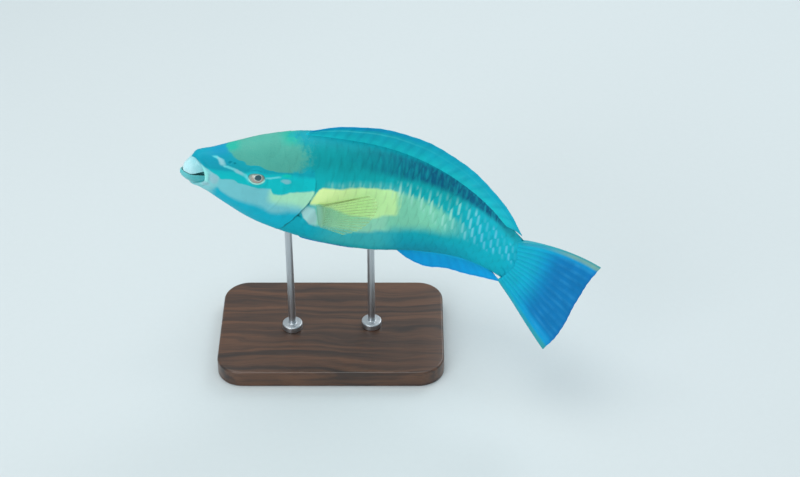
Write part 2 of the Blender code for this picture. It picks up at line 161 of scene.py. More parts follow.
@dataclass
class Body:
    """The bent body as the solids have it, in fractions of its length and in degrees.

    A section is a place, the back, the belly, the half width and the widest point's height.
    """

    length: float = 0.240
    sections: tuple = (
        (-0.016, -0.010, -0.014, 0.000, -0.012),
        (0.000, 0.037, -0.031, 0.0235, 0.001),
        (0.020, 0.0625, -0.0385, 0.0335, 0.004),
        (0.060, 0.0775, -0.0530, 0.0460, 0.002),
        (0.120, 0.1060, -0.0860, 0.0600, -0.004),
        (0.200, 0.1400, -0.1260, 0.0760, -0.006),
        (0.300, 0.1650, -0.1550, 0.0880, -0.002),
        (0.420, 0.1700, -0.1760, 0.0900, 0.004),
        (0.560, 0.1630, -0.1690, 0.0800, 0.006),
        (0.700, 0.1415, -0.1220, 0.0580, 0.004),
        (0.840, 0.1085, -0.0770, 0.0320, 0.002),
        (0.950, 0.0770, -0.0620, 0.0160, 0.001),
        (1.000, 0.0720, -0.0620, 0.0100, 0.000),
    )
    roundness: float = 2.15
    heading: float = -7.5
    nose_up: float = 14.5
    bend: float = 50.0
    arch: float = 4.0
    twist: float = -8.0
    bend_from: float = 0.33
    bend_to: float = 1.08
    spine_end: float = 1.25
    spine_steps: int = 500
    rod_places: tuple[float, float] = (0.315, 0.560)
    snout_height: float = 0.154
    lip_line: Points = ((-90, 0.012), (-40, 0.029), (-5, 0.048), (20, 0.040), (45, 0.023), (90, 0.0065))
    gill_line: Points = (
        (-90, 0.262), (-38, 0.286), (-10, 0.314), (12, 0.338), (30, 0.330), (55, 0.292), (90, 0.268)
    )
    tail_line: Points = ((-90, 0.962), (-45, 0.972), (0, 0.985), (45, 0.970), (90, 0.955))
    steps: Array = field(init=False)
    rows: list = field(init=False)
    move: Array = field(init=False)

    def __post_init__(self) -> None:
        """Works out the spine: the heading, arch and twist grow along it by a smooth step."""
        s = np.linspace(0.0, self.spine_end, self.spine_steps)
        share = smooth_step((s - self.bend_from) / (self.bend_to - self.bend_from))
        heading = np.radians(self.heading + self.bend * share)
        arch = np.radians(self.arch * share)
        twist = np.radians(self.twist * share)[:, None]
        flat = np.cos(arch)
        tail = np.stack([np.cos(heading) * flat, -np.sin(heading) * flat, -np.sin(arch)], axis=1)
        left = np.stack([-np.sin(heading), -np.cos(heading), 0.0 * heading], axis=1)
        up = np.cross(tail, left)
        up = up * np.sign(up[:, 2:3])
        turned_left = left * np.cos(twist) - up * np.sin(twist)
        turned_up = up * np.cos(twist) + left * np.sin(twist)
        steps = 0.5 * (tail[1:] + tail[:-1]) * (s[1] - s[0])
        places = np.concatenate([np.zeros((1, 3)), np.cumsum(steps, axis=0)])
        pitch = math.radians(self.nose_up)
        cos, sin = math.cos(pitch), math.sin(pitch)
        turn = np.array([[cos, 0.0, -sin], [0.0, 1.0, 0.0], [sin, 0.0, cos]])
        self.steps = s
        self.rows = [row @ turn for row in (places, tail, turned_left, turned_up)]
        self.move = np.zeros(3)
        under = [self.spot(s, 0.0, self.outline(s)[1])[:2] for s in self.rod_places]
        middle = 0.5 * (under[0] + under[1])
        self.move = np.array([-middle[0], -middle[1], self.snout_height])

    def outline(self, s: Array) -> list[Array]:
        """Reads the body's profile.

        The knots are spread by the square root of the distance behind the tip, so that the
        snout stays round.

        Args:
            s: Places along the spine.

        Returns:
            Back, belly, half width and the height of the widest point.
        """
        table = np.array(self.sections)
        spread = np.sqrt(table[:, 0] - table[0, 0])
        at = np.sqrt(np.clip(np.asarray(s, float) - table[0, 0], 0.0, None))
        return [through(spread, table[:, k], at) for k in range(1, 5)]

    def line(self, knots: Points, angle: Array) -> Array:
        """The place along the spine of a line round the body, at an angle in degrees."""
        return through(*np.array(knots).T, upright(angle))

    def spot(self, s: Array, y: Array, z: Array) -> Array:
        """Turns the body's own places into the world's.

        Args:
            s: Places along the spine.
            y: To the left, in fractions of the length.
            z: Upwards, in fractions of the length.

        Returns:
            World places: the spine's at s, plus y to the left and z up.
        """
        s = np.asarray(s, float)
        place, tail, left, up = [
            np.stack([np.interp(s, self.steps, row[:, k]) for k in range(3)], axis=-1)
            for row in self.rows
        ]
        ahead = np.minimum(s, 0.0)[..., None]
        y = np.asarray(y, float)[..., None]
        z = np.asarray(z, float)[..., None]
        return (place + tail * ahead + left * y + up * z) * self.length + self.move

    def section(self, s: Array, angle: Array, lift: Array = 0.0) -> tuple[Array, Array]:
        """Reads a point of the body's cross section.

        The section is a superellipse whose upper and lower halves have their own heights. The
        lift runs along the slope (cos over width, sin over height) made one long.

        Args:
            s: Places along the spine.
            angle: Degrees round the body.
            lift: Metres out of the skin.

        Returns:
            The place to the left and the height, in fractions of the length.
        """
        turn = np.radians(np.asarray(angle, float))
        s, turn, lift = np.broadcast_arrays(np.asarray(s, float), turn, np.asarray(lift, float))
        back, belly, wide, level = self.outline(s)
        across = np.cos(turn)
        rise = np.sin(turn)
        half = np.where(rise > 0.0, back - level, level - belly)
        power = 2.0 / self.roundness
        out_y = across / np.maximum(wide, 0.002)
        out_z = rise / np.maximum(half, 0.002)
        reach = lift / self.length / np.hypot(out_y, out_z)
        y = wide * np.sign(across) * np.abs(across) ** power + reach * out_y
        z = level + half * np.sign(rise) * np.abs(rise) ** power + reach * out_z
        return y, z

    def skin(self, s: Array, angle: Array, lift: Array = 0.0) -> Array:
        """World places on the body at s and an angle, moved out by a lift in metres."""
        return self.spot(s, *self.section(s, angle, lift))

    def height_angle(self, s: Array, z: Array) -> Array:
        """Finds the angle at which the section has a height.

        Args:
            s: Places along the spine.
            z: Heights over the spine.

        Returns:
            Degrees above the flank: the superellipse's formula turned round.
        """
        back, belly, _, level = self.outline(s)
        half = np.where(z > level, back - level, level - belly)
        share = np.clip(np.abs(z - level) / half, 0.0, 1.0) ** (0.5 * self.roundness)
        return np.degrees(np.arcsin(share)) * np.sign(z - level)


@dataclass
class Girth:
    """The way round the body by length: 0 on the back, 1 on the belly, 2 on the back again.

    A table holds, for rows along s, the angle at equal shares of the section's length, which is
    summed from short straight steps.
    """

    body: Body
    rows: int = 240
    shares: int = 121
    fine: int = 361
    table: Array = field(init=False)

    def __post_init__(self) -> None:
        """Fills the table of angles."""
        angle = np.linspace(90.0, -90.0, self.fine)
        y, z = self.body.section(np.linspace(0.0, 1.0, self.rows)[:, None], angle[None, :])
        steps = np.hypot(np.diff(y, axis=1), np.diff(z, axis=1))
        run = np.concatenate([np.zeros((self.rows, 1)), np.cumsum(steps, axis=1)], axis=1)
        wanted = np.linspace(0.0, 1.0, self.shares)
        self.table = np.stack([np.interp(wanted, row, angle) for row in run / run[:, -1:]])

    def angle(self, s: Array, share: Array) -> Array:
        """Finds the angle at a share of the way round.

        Args:
            s: Places along the spine.
            share: The way round, 0 on the back to 1 on the belly by the left side, then on to 2.

        Returns:
            Degrees round the body, read from the table straight between its entries.
        """
        s, share = np.broadcast_arrays(np.asarray(s, float), np.mod(np.asarray(share, float), 2.0))
        right = share > 1.0
        way = np.where(right, 2.0 - share, share) * (self.shares - 1)
        row = np.clip(s, 0.0, 1.0) * (self.rows - 1)
        i = np.clip(row.astype(int), 0, self.rows - 2)
        j = np.clip(way.astype(int), 0, self.shares - 2)
        f = row - i
        g = way - j
        near, far = [self.table[k, j] * (1.0 - g) + self.table[k, j + 1] * g for k in (i, i + 1)]
        found = near * (1.0 - f) + far * f
        return np.where(right, 180.0 - found, found)


@dataclass
class Shape:
    """A mesh in the making: its points, its faces and the vectors that its material reads."""

    points: Array
    quads: Array
    tris: Array = field(default_factory=lambda: np.zeros((0, 3), int))
    marks: dict[str, Array] = field(default_factory=dict)
    spread: Array | None = None

    def faced(self) -> "Shape":
        """Points the faces out, by the sign of the volume: all triangles' triple products, summed."""
        corners = [self.quads[:, [0, 1, 2]], self.quads[:, [0, 2, 3]], self.tris]
        p = self.points[np.concatenate(corners)]
        if np.einsum("ij,ij->i", p[:, 0], np.cross(p[:, 1], p[:, 2])).sum() < 0.0:
            self.quads = self.quads[:, ::-1]
            self.tris = self.tris[:, ::-1]
        return self

    def make(self, name: str, finish: Material, slot: Slot | None, sharp: float) -> Thing:
        """Turns the shape into an object.

        Args:
            name: The object's name.
            finish: Its material.
            slot: The record's slot that the piece belongs to, or None for the floor.
            sharp: Edges that turn by more degrees than this are shaded sharp.

        Returns:
            The object, at the origin and riding on the body.
        """
        mesh = bpy.data.meshes.new(name)
        loops = np.concatenate([self.quads.ravel(), self.tris.ravel()]).astype(np.int32)
        sizes = np.concatenate([np.full(len(self.quads), 4), np.full(len(self.tris), 3)])
        starts = np.concatenate([[0], np.cumsum(sizes)[:-1]]).astype(np.int32)
        mesh.vertices.add(len(self.points))
        mesh.vertices.foreach_set("co", self.points.astype(np.float32).ravel())
        mesh.loops.add(len(loops))
        mesh.loops.foreach_set("vertex_index", loops)
        mesh.polygons.add(len(starts))
        mesh.polygons.foreach_set("loop_start", starts)
        mesh.update(calc_edges=True)
        for word, values in self.marks.items():
            layer = mesh.attributes.new(word, "FLOAT_VECTOR", "POINT")
            layer.data.foreach_set("vector", values.astype(np.float32).ravel())
        if self.spread is not None:
            layer = mesh.uv_layers.new(name="OFBake", do_init=False)
            layer.uv.foreach_set("vector", self.spread[loops].astype(np.float32).ravel())
        mesh.shade_smooth()
        mesh.set_sharp_from_angle(angle=math.radians(sharp))
        mesh.materials.append(finish)
        made = bpy.data.objects.new(name, mesh)
        bpy.context.scene.collection.objects.link(made)
        if slot is not None:
            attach(made, "root")
        LOG.info("%s: %d faces", name, len(starts))
        return made


def grid_quads(rows: int, columns: int, closed: bool = False) -> Array:
    """The four-cornered faces of a grid of points.

    Args:
        rows: How many rows of points.
        columns: How many points in a row.
        closed: Whether the last column joins the first.

    Returns:
        The faces' corners, as places in the points counted row by row.
    """
    i = np.arange(rows - 1)[:, None] * columns
    j = np.arange(columns if closed else columns - 1)[None, :]
    k = (j + 1) % columns
    return np.stack([i + j, i + k, i + columns + k, i + columns + j], axis=-1).reshape(-1, 4)


def plate_quads(rows: int, columns: int) -> Array:
    """The faces of two grids, one behind the other, joined by a wall along their borders."""
    count = rows * columns
    top = np.arange(columns)
    right = np.arange(1, rows) * columns + columns - 1
    low = (rows - 1) * columns + np.arange(columns - 2, -1, -1)
    left = np.arange(rows - 2, 0, -1) * columns
    rim = np.concatenate([top, right, low, left])
    after = np.roll(rim, -1)
    face = grid_quads(rows, columns)
    wall = np.stack([rim, rim + count, after + count, after], axis=-1)
    return np.concatenate([face, face[:, ::-1] + count, wall])


def plate(front: Array, back: Array, word: str, mark: Array) -> Shape:
    """Makes a closed sheet between two grids of points of the same size.

    Args:
        front: The front face's points, rows by columns by 3.
        back: The back face's points.
        word: The name of the mark that the material reads.
        mark: The mark's vectors, the same on both faces.

    Returns:
        The closed shape.
    """
    points = np.concatenate([front.reshape(-1, 3), back.reshape(-1, 3)])
    both = np.tile(mark.reshape(-1, 3), (2, 1))
    return Shape(points, plate_quads(*front.shape[:2]), marks={word: both}).faced()


def tube(rings: Array, **marks: Array) -> Shape:
    """Makes a closed shape from rings of points, each end closed by a fan round its middle.

    Args:
        rings: The points, ring by ring: rings by points by 3.
        marks: What the material reads, as arrays of the same size.

    Returns:
        The closed shape.
    """
    rows, columns = rings.shape[:2]
    j = np.arange(columns)
    k = (j + 1) % columns
    last = (rows - 1) * columns
    start = np.stack([k, j, np.full(columns, rows * columns)], axis=-1)
    end = np.stack([last + j, last + k, np.full(columns, rows * columns + 1)], axis=-1)
    points, *values = [
        np.concatenate([each.reshape(-1, 3), [each[0].mean(axis=0), each[-1].mean(axis=0)]])
        for each in (rings, *marks.values())
    ]
    fans = np.concatenate([start, end])
    return Shape(points, grid_quads(rows, columns, True), fans, dict(zip(marks, values))).faced()


@dataclass(frozen=True)
class Curve:
    """A curve through knots for a material, with the lowest and highest value that it may take."""

    knots: Points
    low: float
    high: float


Number = Union["Value", float, int]


def by_node(operation: str, turned: bool = False) -> Callable[..., "Value"]:
    """Makes a method of Value out of one kind of Math node.

    Args:
        operation: The node's operation.
        turned: Whether the other number comes first, as in the reflected forms.

    Returns:
        The method.
    """
    def method(self: "Value", *other: Number) -> "Value":
        """The node's result on this number and, where it takes one, the other."""
        return self.paint.maths(operation, *((*other, self) if turned else (self, *other)))

    return method


class Value:
    """A number in a material: a node's output that takes part in Python arithmetic.

    Its size is the number without its sign, its part what is left after the whole part, and
    least and most are the smaller and the larger of two numbers.
    """

    __add__ = by_node("ADD")
    __radd__ = by_node("ADD", turned=True)
    __sub__ = by_node("SUBTRACT")
    __rsub__ = by_node("SUBTRACT", turned=True)
    __mul__ = by_node("MULTIPLY")
    __rmul__ = by_node("MULTIPLY", turned=True)
    __truediv__ = by_node("DIVIDE")
    __pow__ = by_node("POWER")
    size = by_node("ABSOLUTE")
    part = by_node("FRACT")
    least = by_node("MINIMUM")
    most = by_node("MAXIMUM")

    def __init__(self, paint: "Paint", socket: Socket) -> None:
        """Keeps the material in the making and the socket that gives the number."""
        self.paint = paint
        self.socket = socket

    def rises(self, at: Number, soft: float) -> "Value":
        """Goes softly from 0 to 1 where the number passes a place.

        Args:
            at: The place, a number or a Value.
            soft: Half the width of the change.

        Returns:
            The share, 0 below and 1 above.
        """
        gap, middle = (self - at, 0.0) if isinstance(at, Value) else (self, at)
        ends = {0: gap, 1: middle - soft, 2: middle + soft, 3: 0.0, 4: 1.0}
        made = self.paint.node("ShaderNodeMapRange", ends, interpolation_type="SMOOTHSTEP")
        return Value(self.paint, made.outputs[0])

    def falls(self, at: Number, soft: float) -> "Value":
        """One less the rise at the same place."""
        return 1.0 - self.rises(at, soft)

    def between(self, low: Number, high: Number, soft: float) -> "Value":
        """One from low to high, 0 beyond, with soft ends."""
        return self.rises(low, soft) * self.falls(high, soft)

    def along(self, curve: Curve) -> "Value":
        """Reads a curve.

        Args:
            curve: The curve.

        Returns:
            The curve's value at this number; past its ends it runs level.
        """
        start = curve.knots[0][0]
        width = curve.knots[-1][0] - start
        tall = curve.high - curve.low
        stops = [((x - start) / width, (y - curve.low) / tall) for x, y in curve.knots]
        made = self.paint.node("ShaderNodeFloatCurve", {1: (self - start) / width}, points=stops)
        return Value(self.paint, made.outputs[0]) * tall + curve.low


class Paint:
    """A material in the making."""

    def __init__(self, name: str) -> None:
        """Starts a material with no nodes."""
        self.material = bpy.data.materials.new(name)
        self.material.use_nodes = True
        self.tree = self.material.node_tree
        self.tree.nodes.clear()
        self.own_place: Socket | None = None

    def node(self, kind: str, inputs: dict, points: Points = (), **settings: object) -> bpy.types.Node:
        """Adds a node.

        Args:
            kind: The node's type.
            inputs: What its sockets get, by number or name: a Value, a socket or a constant.
            points: A float curve's knots.
            settings: Its other settings.

        Returns:
            The node.
        """
        made = self.tree.nodes.new(kind)
        for word, setting in settings.items():
            setattr(made, word, setting)
        if points:
            mapping = made.mapping
            mapping.extend = "HORIZONTAL"
            curve = mapping.curves[0]
            curve.points[0].location = points[0]
            curve.points[-1].location = points[-1]
            for place in points[1:-1]:
                curve.points.new(*place)
            for knot in curve.points:
                knot.handle_type = "AUTO_CLAMPED"
            mapping.update()
        for key, given in inputs.items():
            given = given.socket if isinstance(given, Value) else given
            if isinstance(given, Socket):
                self.tree.links.new(given, made.inputs[key])
            else:
                made.inputs[key].default_value = given
        return made

    def maths(self, operation: str, *numbers: Number) -> Value:
        """A Math node's result on one or two numbers."""
        made = self.node("ShaderNodeMath", dict(enumerate(numbers)), operation=operation)
        return Value(self, made.outputs[0])

    def three(self, vector: Socket) -> list[Value]:
        """The three numbers of a vector."""
        made = self.node("ShaderNodeSeparateXYZ", {0: vector})
        return [Value(self, made.outputs[k]) for k in range(3)]

    def mark(self, name: str) -> list[Value]:
        """The three numbers of a vector that the mesh carries."""
        held = self.node("ShaderNodeAttribute", {}, attribute_name=name)
        return self.three(held.outputs["Vector"])

    def place(self) -> Socket:
        """The point's own place, in metres."""
        if self.own_place is None:
            self.own_place = self.node("ShaderNodeTexCoord", {}).outputs["Object"]
        return self.own_place

    def vector(self, x: Number, y: Number, z: Number) -> Socket:
        """A vector from three numbers."""
        return self.node("ShaderNodeCombineXYZ", {0: x, 1: y, 2: z}).outputs[0]

    def noise(self, scale: float, detail: float = 2.0, at: tuple | None = None) -> Value:
        """Soft cloudy noise, about 0.25 to 0.75, at the point's place or at three numbers."""
        spot = self.vector(*at) if at else self.place()
        made = self.node("ShaderNodeTexNoise", {"Vector": spot, "Scale": scale, "Detail": detail})
        return Value(self, made.outputs["Fac"])

    def cells(self, scale: float) -> Value:
        """The distance to the nearest of many scattered points."""
        made = self.node("ShaderNodeTexVoronoi", {"Vector": self.place(), "Scale": scale})
        return Value(self, made.outputs["Distance"])

    def mix(self, share: Number, first: str | Socket, second: str | Socket) -> Socket:
        """Mixes two colours.

        Args:
            share: How much of the second colour there is.
            first: A hex code or a socket.
            second: A hex code or a socket.

        Returns:
            The mixed colour.
        """
        colours = [tint(c) if isinstance(c, str) else c for c in (first, second)]
        inputs = {0: share, 6: colours[0], 7: colours[1]}
        return self.node("ShaderNodeMix", inputs, data_type="RGBA").outputs[2]

    def layers(self, base: str | Socket, *coats: tuple[Number, str | Socket]) -> Socket:
        """Lays colours over a base in their order, each by its share."""
        for share, colour in coats:
            base = self.mix(share, base, colour)
        return base

    def shade(self, colour: str | Socket, amount: Number) -> Socket:
        """A colour made darker or lighter by a factor, through a vector product."""
        given = tint(colour)[:3] if isinstance(colour, str) else colour
        grey = self.vector(amount, amount, amount)
        return self.node("ShaderNodeVectorMath", {0: given, 1: grey}, operation="MULTIPLY").outputs[0]

    def bump(self, height: Value, deep: float) -> Socket:
        """A normal bent by a height of so many metres for one whole step."""
        return self.node("ShaderNodeBump", {"Strength": 1.0, "Distance": deep, "Height": height}).outputs[0]

    def done(self, varying: dict, fixed: dict) -> Material:
        """Ends the material with its shader.

        Args:
            varying: Sockets of the shader that get a link.
            fixed: Sockets of the shader that get a constant.

        Returns:
            The material.
        """
        shader = self.node("ShaderNodeBsdfPrincipled", {**varying, **fixed})
        self.node("ShaderNodeOutputMaterial", {0: shader.outputs[0]})
        return self.material


class Hue(str, Enum):
    """The fish's colours, as shown on a display."""

    BACK = "069AA0"
    RIDGE = "0599A8"
    MID = "05B0B6"
    LOWER = "06ABBB"
    BELLY = "24B6BE"
    BREAST = "04B0C2"
    REAR_BELLY = "068FAE"
    STEM = "04B4C8"
    STEM_END = "04A2C2"
    BAND = "00597A"
    PALE_GREEN = "86D8B4"
    STREAK = "A8E4D4"
    STREAK_COOL = "74CCE8"
    YELLOW = "E6FFAC"
    YELLOW_DEEP = "CAF8AC"
    UNDER_FIN = "A2E4BE"
    PAD = "ACDCD8"
    TURQUOISE = "03C0C6"
    SNOUT = "059AB2"
    BROW = "0592B6"
    TEAL_BAND = "05A3B2"
    LAVENDER = "78CAD2"
    CHEEK = "ACEAC4"
    THROAT = "04B4CC"
    MOUTH = "86CFD4"
    LIP = "9CEEE8"
    STRIPE = "64D4DA"
    PINK = "9CC6D0"
    SPOT = "06CDB2"
    NAPE = "50A999"
    NAPE_SPECK = "3B9A92"
    NAPE_PINK = "86B8A6"
    NAPE_FRONT = "0EB09C"
    # The linings' own teal painted paler: partly painted light in the mouth and in the gap under the gill
    # cover, which lie in shade.
    LINING_PAINTED_LIGHT = "4CB0B8"
    MOUTH_INSIDE_PAINTED_LIGHT = "7AD6D8"
    # The beak's inner faces: their own pale teal painted paler still, as painted light inside the mouth.
    BEAK_INSIDE_PAINTED_LIGHT = "86DEE0"
    RIM_PALE = "B8F0E0"
    RIM_DARK = "3E9494"
    REAR_TOP = "058C98"
    FRINGE = "74C8C0"
    UNDER_BELLY = "44BEC0"
    # Painted shade: the dark of the gap under the gill cover's edge.
    GILL_SLIT_SHADE = "0A7280"
    TAIL_FIELD = "0264A8"
    TAIL_STREAK = "3AA4D4"
    TAIL_STRIPE = "35A4C2"
    TAIL_TAN = "7FAE9C"
    TAIL_TOP = "1C9AA4"
    TAIL_FOOT = "349A98"
    FIRST_RAY = "7D8E46"
    FIN_ROOT = "8CCCB2"


@dataclass(frozen=True)
class Markings:
    """Where the colours lie on the left side and, mirrored, on the right one.

    Each border is a curve of the angle above the flank against s, or of s against the angle.
    """

    gill: Curve = Curve((
        (-90, 0.262), (-38, 0.286), (-10, 0.314), (12, 0.338), (34, 0.326), (60, 0.29), (90, 0.268),
    ), 0.2, 0.4)
    cheek_top: Curve = Curve((
        (0.05, 20), (0.06, 18), (0.075, 13), (0.083, 10), (0.10, 12.5), (0.12, 13.5), (0.135, 11),
        (0.16, 9.5), (0.20, 9.5), (0.22, 10), (0.232, 5.5), (0.25, 5.5), (0.27, 8), (0.30, 11), (0.34, 13),
    ), 0.0, 25.0)
    throat_top: Curve = Curve((
        (0.06, -25), (0.075, -6), (0.085, -9), (0.10, -16), (0.14, -20), (0.17, -17), (0.20, -15),
        (0.24, -20), (0.28, -14), (0.30, -11), (0.34, -8),
    ), -30.0, 0.0)
    mouth_edge: Curve = Curve((
        (-90, 0.068), (-60, 0.066), (-40, 0.062), (-25, 0.071), (-10, 0.079), (10, 0.082), (14, 0.075),
        (20, 0.060), (25, 0.046), (35, 0.030), (45, 0.020), (52, 0.011), (60, 0.004), (90, 0.002),
    ), 0.0, 0.1)
    lip_edge: Curve = Curve((
        (-90, 0.018), (-40, 0.036), (-5, 0.056), (12, 0.054), (25, 0.040), (45, 0.024), (90, 0.008),
    ), 0.0, 0.1)
    stripe_steep: Curve = Curve(
        ((36, 0.088), (40, 0.085), (46, 0.081), (52, 0.076), (58, 0.067), (68, 0.056)), 0.04, 0.10)
    stripe_flat: Curve = Curve((
        (0.082, 40), (0.09, 36), (0.10, 34.5), (0.115, 31), (0.13, 26), (0.148, 22.5), (0.16, 18),
    ), 10.0, 45.0)
    nape_front: Curve = Curve((
        (29, 0.236), (31, 0.22), (33, 0.20), (37, 0.178), (39, 0.15), (46, 0.135), (48, 0.12), (56, 0.108),
        (64, 0.104), (76, 0.095), (90, 0.088),
    ), 0.05, 0.25)
    nape_rear: Curve = Curve((
        (29, 0.24), (31, 0.272), (38, 0.297), (48, 0.303), (60, 0.292), (72, 0.278), (90, 0.252),
    ), 0.2, 0.35)
    yellow_top: Curve = Curve((
        (0.330, 7), (0.345, 13), (0.355, 16.5), (0.37, 17.5), (0.40, 17.5), (0.44, 20.5), (0.50, 23.5),
        (0.55, 25), (0.60, 25),
    ), 0.0, 40.0)
    yellow_low: Curve = Curve(
        ((0.33, 0), (0.40, -2), (0.44, -6), (0.52, -7), (0.56, -3), (0.61, 1)), -10.0, 5.0)
    yellow_front: Curve = Curve(
        ((-12, 0.352), (-6, 0.345), (0, 0.334), (6, 0.338), (12, 0.345), (20, 0.356)), 0.3, 0.4)
    pad_front: Curve = Curve(((-30, 0.352), (-22, 0.342), (-15, 0.326), (-8, 0.314), (0, 0.318)), 0.3, 0.4)
    pad_rear: Curve = Curve(((-30, 0.372), (-22, 0.368), (-15, 0.364), (-8, 0.356), (0, 0.340)), 0.3, 0.4)
    under_low: Curve = Curve(
        ((0.34, -19), (0.36, -24), (0.42, -25), (0.50, -25), (0.57, -20), (0.64, -14)), -30.0, 0.0)
    green_low: Curve = Curve(
        ((0.54, -18), (0.62, -15), (0.68, -10), (0.74, -9), (0.80, -4), (0.88, 2)), -40.0, 10.0)
    green_top: Curve = Curve(
        ((0.54, 25), (0.62, 24), (0.68, 22), (0.74, 18), (0.80, 13), (0.88, 8)), 0.0, 40.0)
    streak_low: Curve = Curve(
        ((0.50, 20), (0.58, 17), (0.66, 12), (0.72, 2), (0.80, -4), (0.88, -4), (0.97, 2)), -20.0, 40.0)
    streak_top: Curve = Curve(
        ((0.50, 28), (0.57, 34), (0.66, 36), (0.72, 44), (0.80, 46), (0.88, 40), (0.97, 34)), 0.0, 60.0)
    band_low: Curve = Curve(
        ((0.40, 52), (0.50, 43), (0.58, 42), (0.66, 47), (0.74, 50), (0.82, 52), (0.90, 58)), 0.0, 90.0)
    band_top: Curve = Curve(
        ((0.40, 66), (0.50, 75), (0.60, 80), (0.70, 82), (0.80, 85), (0.90, 80)), 0.0, 90.0)
    band_depth: Curve = Curve((
        (0.36, 0.0), (0.44, 0.22), (0.52, 0.5), (0.60, 0.8), (0.68, 1.0), (0.85, 1.0), (0.90, 0.45),
        (0.94, 0.0),
    ), 0.0, 1.0)

    def flank(self, paint: Paint, s: Value, rise: Value, scale: list[Value]) -> Socket:
        """Colours the body behind the gill cover.

        Args:
            paint: The material in the making.
            s: The place along the spine, a little wavy.
            rise: The angle above the flank, a little wavy.
            scale: The place on the scale, backwards and upwards, and the scale's own number.

        Returns:
            The colour. Each scale has a pale bar down its middle, which leans forward at its top.
        """
        a, b, own = scale
        bar = (a + b * 0.18 - 0.10).size().falls(0.1045, 0.0855) * b.size().falls(0.72, 0.3)
        upper = paint.mix(rise.rises(72.0, 14.0), Hue.BACK, Hue.RIDGE)
        middle = paint.mix(rise.rises(s.rises(0.55, 0.2) * 6.0 + 34.0, 13.0), Hue.MID, upper)
        lower = paint.mix(rise.rises(-46.0, 16.0), Hue.BELLY, Hue.LOWER)

        blotch = paint.noise(1.0, at=(s * 130.0 + rise * 0.05, rise * 0.045, own * 2.0)).rises(0.42, 0.18)
        dark = rise.rises(s.along(self.band_low), 6.0) * rise.falls(s.along(self.band_top), 8.0)
        dark = dark * s.along(self.band_depth) * (blotch * 0.5 + 0.5)
        under = s.between(0.352, 0.585, 0.02) * rise.falls(2.0, 3.0)
        under = under * rise.rises(s.along(self.under_low), 4.0)
        green = rise.falls(s.along(self.green_top) + bar * 6.0, 5.0)
        green = rise.rises(s.along(self.green_low), 9.0) * green
        green = green * (s.rises(0.572, 0.018) * s.falls(0.765, 0.085))

        top = s.along(self.yellow_top)
        fringe = rise.rises(top - 2.0, 2.0) * rise.falls(top + 6.0, 4.0)
        fringe = fringe * s.between(0.365, 0.60, 0.015) * (bar * 0.6 + 0.25)
        yellow = rise.rises(s.along(self.yellow_low), 2.0) * rise.falls(top, 1.6)
        yellow = yellow * s.rises(rise.along(self.yellow_front), 0.004)
        yellow = yellow * (s + rise * 0.0008).falls(0.598 + bar * 0.008, 0.012)
        pad = s.rises(rise.along(self.pad_front), 0.004) * s.falls(rise.along(self.pad_rear), 0.004)
        band = rise.rises(s.along(self.streak_low), 5.0) * rise.falls(s.along(self.streak_top), 6.0)
        shown = (own.rises(0.42, 0.36) * 0.8 + 0.2) * s.rises(0.565, 0.02) * s.falls(0.965, 0.03)
        return paint.layers(
            paint.mix(rise.rises(-14.0, 14.0), lower, middle),
            (s.falls(0.40, 0.05) * rise.falls(-20.0, 8.0), Hue.BREAST),
            (s.rises(0.60, 0.07) * rise.falls(-34.0, 14.0) * 0.6, Hue.REAR_BELLY),
            (s.rises(0.80, 0.09) * rise.falls(62.0, 16.0) * 0.85, Hue.STEM),
            (s.between(0.885, 0.975, 0.03) * rise.rises(50.0, 9.0) * 0.8, Hue.REAR_TOP),
            (s.rises(0.965, 0.045), Hue.STEM_END),
            (dark * (1.0 - bar * 0.25), Hue.BAND),
            (s.between(0.40, 0.60, 0.05) * rise.between(-52.0, -20.0, 8.0) * 0.75, Hue.UNDER_BELLY),
            (under * 0.85, Hue.UNDER_FIN),
            (green * 0.95, Hue.PALE_GREEN),
            (fringe, Hue.FRINGE),
            (yellow, paint.mix(s.rises(0.44, 0.10), Hue.YELLOW, Hue.YELLOW_DEEP)),
            (pad * rise.between(-24.0, -3.0, 3.0) * 0.95, Hue.PAD),
            (bar * band * shown * 0.62, paint.mix(s.rises(0.80, 0.07), Hue.STREAK, Hue.STREAK_COOL)),
        )

